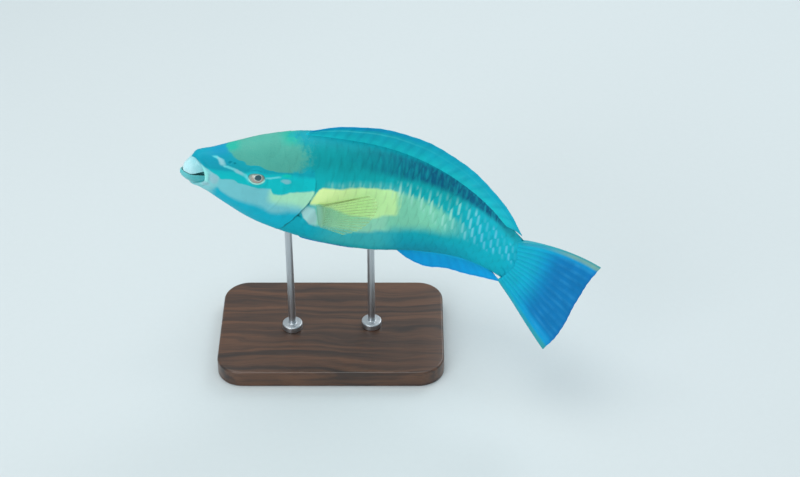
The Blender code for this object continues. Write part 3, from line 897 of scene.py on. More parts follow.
    def head(self, paint: Paint, s: Value, rise: Value, flank: Socket) -> Socket:
        """Colours the head and the nape over the body's own colour.

        Args:
            paint: The material in the making.
            s: The place along the spine, a little wavy.
            rise: The angle above the flank, a little wavy.
            flank: The body's colour, which stays behind the gill cover and the nape.

        Returns:
            The colour.
        """
        soft = paint.mix(s.rises(0.222, 0.014) * rise.rises(-4.0, 6.0), Hue.LAVENDER, Hue.CHEEK)
        steep = (s - rise.along(self.stripe_steep)).size().falls(0.0054, 0.0042)
        steep = steep * rise.between(38.0, 63.0, 4.0)
        flat = (rise - s.along(self.stripe_flat)).size().falls(2.2, 1.7) * s.between(0.086, 0.162, 0.003)
        behind = (rise - (s - 0.205) * 70.0 - 21.8).size().falls(1.1, 0.7) * s.between(0.198, 0.240, 0.006)
        blotch = self.round_spot(s, rise, (0.256, 20.4), (0.013, 2.4))
        flush = steep * s.rises(0.070, 0.006) + flat * s.between(0.118, 0.140, 0.008)
        mouth = s.falls(rise.along(self.mouth_edge), 0.006)
        corner = self.round_spot(s, rise, (0.068, 8.0), (0.014, 12.0))
        corner = corner.most(self.round_spot(s, rise, (0.050, -14.0), (0.014, 10.0)))
        front_part = paint.layers(
            paint.mix(rise.rises(27.0, 3.0), Hue.TURQUOISE, Hue.TEAL_BAND),
            (s.falls(0.105, 0.03) * rise.rises(28.0, 14.0), Hue.SNOUT),
            (s.between(0.050, 0.10, 0.018) * rise.rises(64.0, 14.0), Hue.BROW),
            (rise.falls(s.along(self.cheek_top), 1.3), soft),
            (rise.falls(s.along(self.throat_top), 6.0) * s.rises(0.075, 0.012), Hue.THROAT),
            (steep.most(flat).most(behind), Hue.STRIPE),
            ((flush * 0.7 + blotch * 0.6).least(1.0), Hue.PINK),
            (self.round_spot(s, rise, (0.256, 26.4), (0.013, 2.0)) * 0.7, Hue.SPOT),
            (mouth, Hue.MOUTH),
            (s.falls(rise.along(self.lip_edge), 0.006) * rise.between(-20.0, 40.0, 12.0), Hue.LIP),
            (corner * mouth * 0.75, Hue.PINK),
        )

        gill = rise.along(self.gill)
        ahead = s.falls(gill, 0.003) * rise.falls(36.0, 3.0)
        # Painted shade: a dark line along the gill cover's edge, where the gap under the flap lies in
        # shadow.
        slit_shade = (s - gill - 0.0005).size().falls(0.0028, 0.0018) * rise.falls(-1.0, 5.0)
        front = rise.along(self.nape_front)
        mottle = (paint.noise(420.0) - 0.5) * 0.05
        nape = s.rises(front, 0.004) * (s + mottle).falls(rise.along(self.nape_rear), 0.022)
        green = (s.falls(0.122, 0.014) + s.rises(0.235, 0.02)) * rise.rises(70.0, 9.0)
        near = s.rises(front, 0.012) * s.falls(0.31, 0.03) * rise.rises(35.0, 4.0)
        specks = paint.cells(1250.0).falls(0.30, 0.12) * paint.noise(130.0).rises(0.46, 0.12)
        pale = paint.cells(900.0).falls(0.26, 0.12) * paint.noise(90.0).rises(0.5, 0.1)
        return paint.layers(
            paint.mix(ahead.most(rise.rises(33.0, 3.0) * s.falls(0.20, 0.02)), flank, front_part),
            (slit_shade * 0.80, Hue.GILL_SLIT_SHADE),
            (nape * rise.rises(30.0, 1.5), paint.mix(green.least(1.0) * 0.85, Hue.NAPE, Hue.NAPE_FRONT)),
            (specks * near * 0.6, Hue.NAPE_SPECK),
            (pale * near * 0.25, Hue.NAPE_PINK),
        )

    @staticmethod
    def round_spot(s: Value, rise: Value, at: tuple[float, float], size: tuple[float, float]) -> Value:
        """A soft round spot: it falls with the square of the distance, measured in its own sizes."""
        x = (s - at[0]) * (1.0 / size[0])
        y = (rise - at[1]) * (1.0 / size[1])
        return (x * x + y * y).falls(0.75, 0.7)


@dataclass(frozen=True)
class SkinFinish:
    """Wet skin and scales: the markings, a soft grain and a satin gloss."""

    markings: Markings = Markings()
    roughness: float = 0.42
    grain: float = 0.00006
    specular: float = 0.13

    def make(self, name: str, scaly: bool = False, lid: bool = False) -> Material:
        """Makes the material.

        Args:
            name: The material's name.
            scaly: Whether the piece is made of scales.
            lid: Whether the piece is a ring round an eye, with a rim of its own colours.

        Returns:
            The material.
        """
        paint = Paint(name)
        s, rise, lining = paint.mark("lie")
        s = s + (paint.noise(210.0) - 0.5) * 0.010
        rise = rise + (paint.noise(150.0) - 0.5) * 4.5
        scale = paint.mark("scale")
        colour = self.markings.flank(paint, s, rise, scale)
        colour = self.markings.head(paint, s, rise, colour)
        grain = paint.noise(1.0, 3.0, (s * 75.0, rise * 0.06, 0.0))
        tone = paint.noise(46.0, 3.0) * 0.26 + 0.87
        tone = tone * (1.0 + (grain - 0.5) * 0.34 * s.rises(0.34, 0.05) * rise.rises(22.0, 8.0))
        if scaly:
            a, b, own = scale
            rim_shade = a.rises(0.36, 0.12) * (0.03 + s.rises(0.36, 0.06) * 0.07)
            lines = paint.noise(1.0, at=(a * 3.0, b * 26.0, own * 40.0))
            tone = tone * (0.97 + own * 0.06) * (1.0 - rim_shade) * (0.95 + lines * 0.10)
        # The linings of mouth, gill cover and eye pockets: their own teal painted paler, as painted light in
        # hollows that lie in shade.
        inside = paint.mix(s.rises(0.12, 0.03), Hue.MOUTH_INSIDE_PAINTED_LIGHT, Hue.LINING_PAINTED_LIGHT)
        colour = paint.mix(lining.rises(0.5, 0.5), paint.shade(colour, tone), inside)
        if lid:
            rim, high, _ = paint.mark("rim")
            edge = paint.mix(high.rises(-0.25, 0.45), Hue.RIM_PALE, Hue.RIM_DARK)
            colour = paint.mix(rim.rises(0.80, 0.14) * 0.85, colour, edge)
        rough = paint.noise(260.0) * 0.16 + self.roughness
        normal = paint.bump(paint.noise(1500.0, 3.0), self.grain)
        varying = {"Base Color": colour, "Roughness": rough, "Normal": normal}
        return paint.done(varying, {"Specular IOR Level": self.specular})


@dataclass
class Gaze:
    """The frame of one eye: where its ball lies and which way it looks."""

    body: Body
    side: Side
    place: float = 0.180
    angle: float = 18.5
    sunk: float = 0.0030
    sideways: float = 0.75
    radius: float = 0.0062
    depth: float = 0.0046
    turned_up: float = 24.0
    turned_back: float = 8.0
    bulge: float = 0.00035
    window: float = 0.0030
    centre: Array = field(init=False)
    out: Array = field(init=False)
    ahead: Array = field(init=False)
    above: Array = field(init=False)

    def __post_init__(self) -> None:
        """Works out the axes: the gaze lies between the skin's normal and straight sideways."""
        angle = self.side.turned(self.angle)
        skin = self.body.skin(self.place, angle)
        normal = self.body.skin(self.place, angle, 1.0) - skin
        across = self.body.spot(self.place, self.side.value, 0.0) - self.body.spot(self.place, 0.0, 0.0)
        self.out = unit(unit(normal) * (1.0 - self.sideways) + unit(across) * self.sideways)
        ahead = self.body.skin(self.place - 0.01, angle) - skin
        self.ahead = unit(ahead - self.out * (ahead @ self.out))
        above = np.cross(self.out, self.ahead)
        self.above = above * np.sign(above[2])
        self.centre = skin - self.out * self.sunk

    def local(self, points: Array) -> tuple[Array, Array, Array]:
        """World points as distances ahead of, above and out of the ball's middle."""
        gap = points - self.centre
        return gap @ self.ahead, gap @ self.above, gap @ self.out

    def world(self, x: Array, y: Array, z: Array) -> Array:
        """The world place of distances ahead of, above and out of the ball's middle."""
        x, y, z = [each[..., None] for each in (x, y, z)]
        return self.centre + x * self.ahead + y * self.above + z * self.out

    def pupil_axes(self) -> Array:
        """Rows ahead, above and out of the pupil, as distances ahead of, above and out of the ball."""
        up = math.radians(self.turned_up)
        back = math.radians(self.turned_back)
        out = np.array([-math.sin(back) * math.cos(up), math.sin(up), math.cos(back) * math.cos(up)])
        ahead = unit(np.array([1.0, 0.0, 0.0]) - out * out[0])
        return np.stack([ahead, np.cross(out, ahead), out])

    def swell(self, way: Array) -> Array:
        """How far the window stands proud: a bell of the angle between a way out and the pupil's."""
        away = np.arccos(np.clip(way @ self.pupil_axes()[2], -1.0, 1.0))
        return self.bulge * hump(away, self.window / self.radius)

    def ball(self, x: Array, y: Array) -> Array:
        """Reads the ball's surface.

        Args:
            x: Metres ahead of the ball's middle.
            y: Metres above it.

        Returns:
            Its surface's height over its middle: an ellipsoid's and the window's swell.
        """
        out = np.sqrt(np.clip(1.0 - (x * x + y * y) / self.radius ** 2, 0.04, None))
        way = unit(np.stack([x / self.radius, y / self.radius, out], axis=-1))
        return self.depth * out + self.swell(way)

    def on_skin(self, x: Array, y: Array) -> tuple[Array, Array]:
        """Finds the skin beside the eye.

        Newton's steps: from a first guess, the place and angle move by the gap over the skin's
        slopes, which are measured by small differences.

        Args:
            x: Metres ahead of the ball's middle.
            y: Metres above it.

        Returns:
            The place along the spine and the angle round the body of the skin over there.
        """
        s = self.place - x / self.body.length
        angle = np.full_like(s, self.side.turned(self.angle))
        small_s = 1e-3
        small_angle = 0.1
        for _ in range(8):
            gx, gy, _ = self.local(self.body.skin(s, angle))
            ax, ay, _ = self.local(self.body.skin(s + small_s, angle))
            bx, by, _ = self.local(self.body.skin(s, angle + small_angle))
            sx, sy = (ax - gx) / small_s, (ay - gy) / small_s
            tx, ty = (bx - gx) / small_angle, (by - gy) / small_angle
            whole = sx * ty - sy * tx
            dx, dy = x - gx, y - gy
            s = s + (dx * ty - dy * tx) / whole
            angle = angle + (sx * dy - sy * dx) / whole
        return s, angle


@dataclass
class Skin:
    """The one skin over head, gill covers, trunk and tail stem.

    It is a closed grid: rows run from a pole inside the mouth, round the lips, over the head,
    round the edge of the gill cover, down the trunk and in at the tail's root to a second pole.
    Columns run round the body. Its relief is a lift that is a function of place and angle. The
    rows of mouth and flap are a step along the spine, a lift in metres and the lining's share.
    """

    body: Body
    gazes: tuple[Gaze, Gaze]
    columns: int = 284
    head_rows: int = 158
    trunk_rows: int = 104
    bare: float = 0.00008
    under_scales: float = 0.00038
    under_cheek: float = 0.00013
    opening: float = 0.0064
    pocket_depth: float = 0.0075
    tail_gap: float = 0.0012
    tail_round: float = 0.006
    tail_narrowed: float = 0.92
    tail_lowered: float = 0.16
    eye_heights: tuple[float, float] = (21.0, 159.0)
    mouth: tuple = (
        (0.022, -0.0072, 1.0), (0.016, -0.0058, 1.0), (0.010, -0.0042, 1.0), (0.005, -0.0030, 1.0),
        (0.0016, -0.0021, 0.9), (-0.0003, -0.0014, 0.5), (-0.0013, -0.0008, 0.1), (-0.0017, -0.0003, 0.0),
        (-0.0014, 0.0001, 0.0), (-0.0004, 0.00030, 0.0), (0.0010, 0.00034, 0.0), (0.0026, 0.00030, 0.0),
    )
    flap: tuple = (
        (-0.0070, 0.00025, 0.0), (-0.0045, 0.00042, 0.0), (-0.0025, 0.00052, 0.0), (-0.0010, 0.00050, 0.0),
        (-0.0001, 0.00036, 0.0), (0.0003, 0.00010, 0.3), (0.0000, -0.00030, 0.8), (-0.0018, -0.00085, 1.0),
        (-0.0030, -0.00140, 1.0), (-0.0014, -0.00175, 1.0), (0.0030, -0.00160, 0.8), (0.0080, -0.00115, 0.3),
        (0.0125, -0.00070, 0.0), (0.0165, -0.00046, 0.0),
    )
    tail_in: tuple = (0.0, 0.06, 0.20, 0.42, 0.66, 0.84)
    nostrils: tuple = ((0.104, 43.0, 0.00075), (0.1165, 41.0, 0.00055))

    def angles(self) -> Array:
        """The columns' angles from the belly round: closer together at the height of the eyes."""
        fine = np.linspace(-90.0, 270.0, 2881)
        left, right = [1.5 * hump(fine - height, 17.0) for height in self.eye_heights]
        run = np.cumsum(1.0 + left + right)
        run = (run - run[0]) / (run[-1] - run[0])
        return np.interp(np.linspace(0.0, 1.0, self.columns, endpoint=False), run, fine)

    def under(self, s: Array, angle: Array) -> Array:
        """How deep the skin lies to leave room for the scales.

        Args:
            s: Places along the spine.
            angle: Degrees round the body.

        Returns:
            The depth in metres, the largest on trunk and nape.
        """
        rise = upright(angle)
        gill = self.body.line(self.body.gill_line, angle)
        trunk = smooth_step((s - gill + 0.004) / 0.012)
        nape = smooth_step((s - 0.188) / 0.03) * smooth_step((rise - 30.0) / 6.0)
        cheek = smooth_step((s - 0.112) / 0.02) * smooth_step((9.0 - rise) / 5.0)
        cheek = np.maximum(cheek, smooth_step((s - 0.232) / 0.016) * smooth_step((30.0 - rise) / 6.0))
        depth = blend(self.bare, self.under_cheek, cheek * smooth_step((rise + 52.0) / 8.0))
        return blend(depth, self.under_scales, np.maximum(trunk, nape))

    def relief(self, s: Array, angle: Array) -> Array:
        """The skin's folds and pits, less its depth under the scales.

        Args:
            s: Places along the spine.
            angle: Degrees round the body.

        Returns:
            A lift in metres, the sum of bells: the lip's fold, the preopercle's groove, the
            nostrils with their rims, the pad under each pectoral fin and a low brow over each eye.
        """
        body = self.body
        rise = upright(angle)
        lip = body.line(body.lip_line, angle)
        edge = body.line(body.gill_line, angle) - 0.080 + 0.012 * hump(rise + 12.0, 22.0)
        fold = -0.00034 * hump(s - lip - 0.013, 0.0042) * smooth_step((62.0 - np.abs(rise - 2.0)) / 30.0)
        fold = fold + 0.00022 * hump(s - lip - 0.0235, 0.006) * smooth_step((50.0 - np.abs(rise)) / 24.0)
        corner = -0.00045 * hump(s - 0.0585, 0.0035) * hump(rise - 8.0, 9.0)
        groove = -0.00022 * hump(s - edge, 0.0035) * smooth_step((26.0 - rise) / 9.0)
        groove = groove * smooth_step((rise + 48.0) / 12.0)
        swell = 0.00025 * hump(s - edge + 0.010, 0.007) * smooth_step((22.0 - rise) / 9.0)
        swell = swell * smooth_step((rise + 44.0) / 12.0)
        pits = 0.0 * s
        girth = np.maximum(body.outline(s)[2], 0.02) * 1.35
        for place, height, size in self.nostrils:
            x = (s - place) * body.length
            y = np.radians(rise - height) * girth * body.length
            away = np.hypot(x, y)
            pits = pits - 0.0009 * hump(away, size) + 0.00022 * hump(away - size * 1.7, size * 0.5)
        x = (s - 0.343 - 0.0007 * (rise + 13.0)) * body.length
        y = (rise + 13.5) / 11.5
        pad = 0.0013 * hump(x, 0.0040) * smooth_step((1.35 - np.abs(y)) / 0.7)
        brow = 0.00040 * hump(s - 0.182, 0.026) * hump(rise - 33.0, 5.0)
        return fold + corner + groove + swell + pits + pad + brow - self.under(s, angle)

    def orbits(self, points: Array, normals: Array) -> tuple[Array, Array]:
        """The hollows in which the eyes sit, as a lift in metres.

        Args:
            points: The skin without relief.
            normals: Its normals.

        Returns:
            The lift, of a shallow furrow round each eye and a pocket deeper than the ball, and
            the pocket's share for its lining.
        """
        lift = np.zeros(points.shape[:-1])
        lining = np.zeros(points.shape[:-1])
        for gaze in self.gazes:
            x, y, z = gaze.local(points)
            away = np.hypot(x, y)
            near = (z > -0.006) & (normals @ gaze.out > 0.0)
            furrow = -0.00022 * hump(away - self.opening - 0.0016, 0.0009)
            pocket = smooth_step((self.opening + 0.0001 - away) / 0.0009)
            lift += np.where(near, furrow - self.pocket_depth * pocket, 0.0)
            lining += np.where(near, pocket, 0.0)
        return lift, lining

    def rows(self, angle: Array) -> Array:
        """Works out the grid's rows.

        Between the lip, the gill cover's edge and the tail's root they lie at equal shares of
        the way. The relief fades into the lifts of mouth and flap by smooth steps, and the last
        rows follow a quarter circle.

        Args:
            angle: The columns' angles, as a row.

        Returns:
            Place along the spine, lift in metres and the lining's share, each rows by columns.
        """
        body = self.body
        rise = upright(angle)
        lip = body.line(body.lip_line, angle)
        gill = body.line(body.gill_line, angle)
        tail = body.line(body.tail_line, angle) - self.tail_gap
        has_flap = smooth_step((rise + 66.0) / 12.0) * smooth_step((30.0 - rise) / 12.0)
        mouth = np.array(self.mouth)
        flap = np.array(self.flap)

        start = lip + mouth[-1, 0]
        stop = gill + flap[0, 0]
        head = blend(start, stop, np.linspace(0.0, 1.0, self.head_rows + 2)[1:-1, None])
        relief = self.relief(head, angle)
        relief = relief + (mouth[-1, 1] + self.bare) * smooth_step(1.0 - (head - start) / 0.010)
        raised = (flap[0, 1] + self.under_cheek) * has_flap
        relief = relief + raised * smooth_step(1.0 - (stop - head) / 0.020)

        plain = np.linspace(flap[0, 0], flap[-1, 0], len(flap))[:, None]
        edge = gill + plain + (flap[:, :1] - plain) * has_flap
        start = gill + flap[-1, 0]
        stop = tail - self.tail_round
        trunk = blend(start, stop, np.linspace(0.0, 1.0, self.trunk_rows + 2)[1:-1, None])
        turned_in = 1.0 - np.linspace(0.0, 1.0, len(self.tail_in))[:, None]
        rear = stop + self.tail_round * np.sqrt(1.0 - turned_in ** 2)
        stretches = (
            (lip + mouth[:, :1], mouth[:, 1:2] + 0.0 * lip, mouth[:, 2:] + 0.0 * lip),
            (head, relief, 0.0 * head),
            (edge, blend(self.relief(edge, angle), flap[:, 1:2], has_flap), flap[:, 2:] * has_flap),
            (trunk, self.relief(trunk, angle), 0.0 * trunk),
            (rear, -self.under_scales + 0.0 * rear, 0.0 * rear),
        )
        return np.concatenate([np.stack(stretch) for stretch in stretches], axis=1)

    def build(self, finish: Material) -> Thing:
        """Makes the skin in place of the flesh nodes.

        Args:
            finish: Its material.

        Returns:
            The skin.
        """
        body = self.body
        columns = self.angles()[None, :]
        s, lift, lining = self.rows(columns)
        angle = columns + 0.0 * s
        bare = body.skin(s, angle)
        orbit, pocket = self.orbits(bare, unit(body.skin(s, angle, 1.0) - bare))
        y, z = body.section(s, angle, lift + orbit)
        shrink = np.zeros((len(s), 1))
        shrink[-len(self.tail_in):, 0] = self.tail_in
        level = body.outline(s)[3]
        y = y * (1.0 - self.tail_narrowed * shrink)
        z = level + (z - level) * (1.0 - self.tail_lowered * shrink)
        lie = np.stack([s, upright(angle), np.maximum(lining, pocket)], axis=-1)
        made = tube(body.spot(s, y, z), lie=lie, scale=np.zeros(lie.shape) + (0.0, 1.0, 0.5))
        skin = made.make("skin", finish, Slot.SKIN, sharp=180.0)
        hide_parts("head", "gill_cover_left", "gill_cover_right", "trunk", "tail_stem")
        return skin


@dataclass
class Coat:
    """The scales: thin curved plates in rows, each row half a scale behind its neighbours.

    A scale is worked out in its lattice's own units. Its length runs from a hidden root to a tip
    whose edge is an arc, and it tilts from a low root to a high tip, so that it lies over the
    scale behind it.
    """

    body: Body
    girth: Girth
    gazes: tuple[Gaze, Gaze]
    eye_room: float = 0.0070
    pitch: float = 0.0305
    rows: int = 11
    places: int = 31
    start: float = 0.106
    along: int = 4
    across: int = 8
    root: float = -1.05
    tip: float = 0.5
    breadth: float = 1.06
    thick: float = 0.00010
    low: tuple[float, float] = (-0.00036, -0.00022)
    high: tuple[float, float] = (0.00002, -0.00003)
    size_jolt: float = 0.02
    lift_jolt: float = 0.000012
    crown: float = 0.00006
    droop: float = 0.00003
    seam: float = 0.004
    patch: float = 0.45
    patch_under: float = 0.95
    seed: int = 7

    def centres(self) -> tuple[Array, Array, Array]:
        """Lays out the lattice and keeps the scales that lie on scaly skin.

        Returns:
            Each scale's place along the spine, its share of the way round and whether it is one
            of the sunk ones on cheek and gill cover.
        """
        j = np.arange(2 * self.rows)[:, None]
        i = np.arange(self.places)[None, :]
        s = self.start + self.pitch * (i + 0.5 * (j % 2)) + 0.0 * j
        way = j / self.rows + 0.0 * s
        angle = self.girth.angle(s, way)
        rise = upright(angle)
        gill = self.body.line(self.body.gill_line, angle)
        tail = self.body.line(self.body.tail_line, angle)
        flap = (rise < 33.0) & (rise > -64.0)
        behind = np.where(flap, s > gill + 0.010, s > gill - 0.002)
        nape = (rise > 33.0) & (s > 0.212)
        bare_end = np.interp(np.abs(rise), (20.0, 22.0, 38.0, 40.0), (0.020, 0.027, 0.027, 0.010))
        pad = (s > 0.322) & (s < 0.366) & (rise > -26.0) & (rise < -1.0)
        trunk = (behind | nape) & (s < tail - bare_end) & ~pad
        cover = (s < gill - 0.0185) & (s > 0.243) & (rise < 28.0) & (rise > -48.0)
        cheek = (s > 0.125) & (s <= 0.243) & (rise < 1.5) & (rise > -38.0)
        sunk = cover | cheek
        keep = trunk | sunk
        return s[keep], way[keep], sunk[keep]

    def off_eyes(self, points: Array) -> Array:
        """Finds the scales that leave the eyes free.

        Args:
            points: The scales' upper faces, scales by rows by columns by 3.

        Returns:
            Whether each scale has no point within the eye's room round a gaze's axis.
        """
        clear = np.ones(len(points), bool)
        for gaze in self.gazes:
            x, y, z = gaze.local(points)
            close = (np.hypot(x, y) < self.eye_room) & (np.abs(z) < self.eye_room)
            clear &= ~close.any(axis=(1, 2))
        return clear

    @staticmethod
    def doubled(front: Array, back: Array) -> Array:
        """Each scale's front values and then its back ones, in one row of vectors."""
        count, width = front.shape[0], front.shape[-1]
        return np.concatenate([front.reshape(count, -1, width), back.reshape(count, -1, width)], axis=1)

    def build(self, finish: Material) -> list[Thing]:
        """Makes the scales of each side as one joined piece.

        Args:
            finish: The scales' material.

        Returns:
            The two pieces.
        """
        rng = np.random.default_rng(self.seed)
        centres = self.centres()
        count = len(centres[0])
        own = rng.random(count)[:, None, None]
        jolt = rng.normal(0.0, 1.0, (2, count))[:, :, None, None]
        s0, way0, sunk = [each[:, None, None] for each in centres]
        right = way0 >= 1.0 - 1e-9
        p = np.linspace(0.0, 1.0, self.along)[None, :, None]
        q = np.linspace(-1.0, 1.0, self.across)[None, None, :]
        size = 1.0 + self.size_jolt * jolt[0]
        end = self.tip * (1.0 - 1.10 * np.abs(q) ** 2.3)
        a = blend(self.root, end, p) * size
        b = q * self.breadth * (0.72 + 0.28 * smooth_step(p / 0.55)) * size + 0.0 * a
        s = s0 + a * self.pitch
        way = way0 + b / self.rows
        middle = (way0 < 1e-9) | (np.abs(way0 - 1.0) < 1e-9)
        held = np.clip(way, right + self.seam, right + (1.0 - self.seam))
        angle = self.girth.angle(s, np.where(middle, way, held))

        low, high = [np.where(sunk, pair[1], pair[0]) for pair in (self.low, self.high)]
        share = (a - self.root) / (self.tip - self.root)
        lift = blend(low, high + self.lift_jolt * jolt[1], share)
        lift = lift + self.crown * (1.0 - q * q) - self.droop * p ** 8
        above = self.body.skin(s, angle, lift)
        points = self.doubled(above, self.body.skin(s, angle, lift - self.thick))
        lie = np.stack([s, upright(angle), 0.0 * s], axis=-1)
        scale = np.stack([a + 0.0 * b, np.where(right, b, -b), own + 0.0 * b], axis=-1)
        u = s0 + (share - 0.5) * 2.0 * self.patch * self.pitch
        v = way0 - right + q * self.patch / self.rows + 0.0 * u
        chart = np.stack([0.02 + 0.96 * (u + 0.0 * v), 0.06 + 0.88 * v], axis=-1)
        heart = chart.mean(axis=(1, 2), keepdims=True)
        chart = self.doubled(chart, blend(heart, chart, self.patch_under))

        face = plate_quads(self.along, self.across)
        each = 2 * self.along * self.across
        clear = self.off_eyes(above)
        made = []
        for word, on_side in (("left", ~right), ("right", right)):
            chosen = on_side[:, 0, 0] & clear
            quads = (face[None] + each * np.arange(int(chosen.sum()))[:, None, None]).reshape(-1, 4)
            shape = Shape(points[chosen].reshape(-1, 3), quads, spread=chart[chosen].reshape(-1, 2))
            for name, values in (("lie", lie[chosen]), ("scale", scale[chosen])):
                shape.marks[name] = self.doubled(values, values).reshape(-1, 3)
            made.append(shape.faced().make("scales_" + word, finish, Slot.SKIN, sharp=50.0))
        return made


@dataclass
class Lid:
    """The ring of soft skin that lies round an eye and rolls in onto the ball.

    Its rings run round the gaze's axis. Each has a distance from the axis, a share of the way
    from the skin to the ball, and a height over each of the two, in millimetres. The rings that
    show lie over both, by a soft maximum.
    """

    gaze: Gaze
    around: int = 144
    squint: float = 0.38
    raised: float = 0.0016
    forward: float = 0.0004
    shown: tuple[int, int] = (2, 7)
    cover: float = 0.00014
    blunt: float = 0.0003
    profile: tuple = (
        (7.5, 0.0, -0.50, 0.0), (7.0, 0.0, -0.14, 0.0), (6.6, 0.08, 0.10, 0.0), (6.25, 0.25, 0.24, 0.1),
        (5.95, 0.50, 0.30, 0.24), (5.65, 0.75, 0.30, 0.34), (5.40, 0.92, 0.25, 0.36), (5.20, 1.0, 0.0, 0.30),
        (5.06, 1.0, 0.0, 0.16), (5.00, 1.0, 0.0, -0.02), (5.06, 1.0, 0.0, -0.40), (5.4, 1.0, 0.0, -1.0),
        (6.0, 0.8, -1.6, -1.4), (6.8, 0.4, -1.6, -1.4), (7.4, 0.0, -1.1, 0.0),
    )

    def build(self, finish: Material) -> Thing:
        """Makes the ring.

        Args:
            finish: Its material.

        Returns:
            The ring.
        """
        gaze = self.gaze
        turn = once_round(self.around)
        far, share, on_skin, on_ball = np.array(self.profile).T[:, :, None]
        x = far * 0.001 * np.cos(turn) + self.forward * share
        y = far * 0.001 * np.sin(turn) * (1.0 - self.squint * share) + self.raised * share
        s, angle = gaze.on_skin(x, y)
        skin = gaze.local(gaze.body.skin(s, angle))[2] + on_skin * 0.001
        ball = gaze.ball(x, y)
        z = skin * (1.0 - share) + (ball + on_ball * 0.001) * share
        rows = slice(*self.shown)
        z[rows] = self.over(self.over(z[rows], skin[rows]), ball[rows] + self.cover)
        lie = np.stack([s, upright(angle), 0.0 * s], axis=-1)
        rim = np.stack(np.broadcast_arrays(share, np.sin(turn), np.cos(turn)), axis=-1)
        marks = {"lie": lie.reshape(-1, 3), "rim": rim.reshape(-1, 3), "scale": np.ones((s.size, 3))}
        rings = len(self.profile)
        closed = grid_quads(rings + 1, self.around, True) % (rings * self.around)
        made = Shape(gaze.world(x, y, z).reshape(-1, 3), closed, marks=marks).faced()
        return made.make("lid_" + gaze.side.word, finish, Slot.SKIN, sharp=180.0)

    def over(self, first: Array, second: Array) -> Array:
        """The larger of two heights, blunted: half of sum plus root of squared gap and bluntness."""
        return 0.5 * (first + second + np.sqrt((first - second) ** 2 + self.blunt ** 2)) - 0.2 * self.blunt


@dataclass(frozen=True)
class EyeFinish:
    """A wet eye: a dark teal pupil, a thin pale ring, a tan to grey iris and a clear gloss over all."""

    pupil: str = "184A54"
    ring: str = "B2C6BC"
    inner: str = "A3988C"
    outer: str = "84A097"
    shadow: str = "568480"
    pupil_size: float = 1.90
    ring_size: float = 2.35
    iris_size: float = 5.75

    def make(self, name: str) -> Material:
        """Makes the material.

        Args:
            name: The material's name.

        Returns:
            The material, from the mark "eye": millimetres ahead of and above the pupil's axis.
        """
        paint = Paint(name)
        x, y, _ = paint.mark("eye")
        round_x = x * (1.0 - x.rises(0.6, 1.6) * 0.22) - 0.10
        far = (round_x * round_x + y * y) ** 0.5
        whole = (x * x + y * y) ** 0.5
        streaks = paint.noise(2.4, 4.0, (x / (whole + 0.3) * 4.5, y / (whole + 0.3) * 4.5, whole * 0.35))
        blotch = paint.noise(0.9, 3.0, (x, y, 0.0))
        iris = paint.mix(whole.rises(4.6, 0.9), self.inner, self.outer)
        iris = paint.mix((y * 0.35 + blotch * 1.2).rises(1.0, 0.5) * 0.5, iris, self.shadow)
        colour = paint.layers(
            paint.shade(iris, streaks * 0.8 + 0.64),
            (whole.rises(self.iris_size, 0.35), self.shadow),
            ((far + (blotch - 0.5) * 1.2).falls(self.ring_size, 0.28), self.ring),
            (far.falls(self.pupil_size, 0.10), self.pupil),
        )
        return paint.done(
            {"Base Color": colour, "Roughness": streaks * 0.10 + 0.12},
            {"Coat Weight": 1.0, "Coat Roughness": 0.03, "Specular IOR Level": 0.5},
        )


@dataclass
class Eye:
    """An eyeball: a flattened ball with the clear window's own bulge over the pupil."""

    gaze: Gaze
    around: int = 96
    rings: int = 60

    def build(self, finish: Material) -> Thing:
        """Makes the ball, whose half circle is turned about the gaze's axis.

        Args:
            finish: Its material.

        Returns:
            The ball.
        """
        gaze = self.gaze
        turn = once_round(self.around)
        down = np.linspace(0.0, np.pi, self.rings + 2)[1:-1, None]
        own = (np.sin(down) * np.cos(turn), np.sin(down) * np.sin(turn), np.cos(down) + 0.0 * turn)
        way = np.stack(own, axis=-1)
        grown = 1.0 + gaze.swell(way) / gaze.depth
        x, y, z = [size * axis * grown for size, axis in zip((gaze.radius, gaze.radius, gaze.depth), own)]
        made = tube(gaze.world(x, y, z), eye=way @ gaze.pupil_axes().T * gaze.radius * 1000.0)
        eye = made.make("eye_ball_" + gaze.side.word, finish, Slot.EYE, sharp=180.0)
        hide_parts("eye_" + gaze.side.word)
        return eye


@dataclass(frozen=True)
class BeakFinish:
    """Worn tooth plates: a mosaic of small teeth in one smooth glaze."""

    colour: str
    root: str
    edge: str

    def make(self, name: str) -> Material:
        """Makes the material.

        Args:
            name: The material's name.

        Returns:
            The material, from the piece's mark: the share of the way from lip to tip, the angle
            over the flank and the lining's share.
        """
        paint = Paint(name)
        share, rise, lining = paint.mark("tooth")
        mosaic = paint.cells(1250.0)
        cloud = paint.noise(330.0, 3.0)
        suture = (rise - 90.0).size().falls(1.2, 1.0) + (rise + 90.0).size().falls(1.2, 1.0)
        colour = paint.mix(share.falls(0.42, 0.24), self.colour, self.root)
        colour = paint.mix(share.rises(0.93, 0.08) * 0.6, colour, self.edge)
        colour = paint.shade(colour, mosaic * 0.14 + cloud * 0.22 + 0.84)
        colour = paint.shade(colour, 1.0 - suture.least(1.0) * 0.35)
        # The plate's inner face: its own pale teal painted paler, as painted light inside the mouth, which
        # lies in shade.
        colour = paint.mix(lining.rises(0.5, 0.4), colour, Hue.BEAK_INSIDE_PAINTED_LIGHT)
        normal = paint.bump(mosaic * 0.8 - suture, 0.0001)
        return paint.done(
            {"Base Color": colour, "Roughness": cloud * 0.14 + 0.24, "Normal": normal},
            {"Coat Weight": 0.35, "Coat Roughness": 0.12},
        )


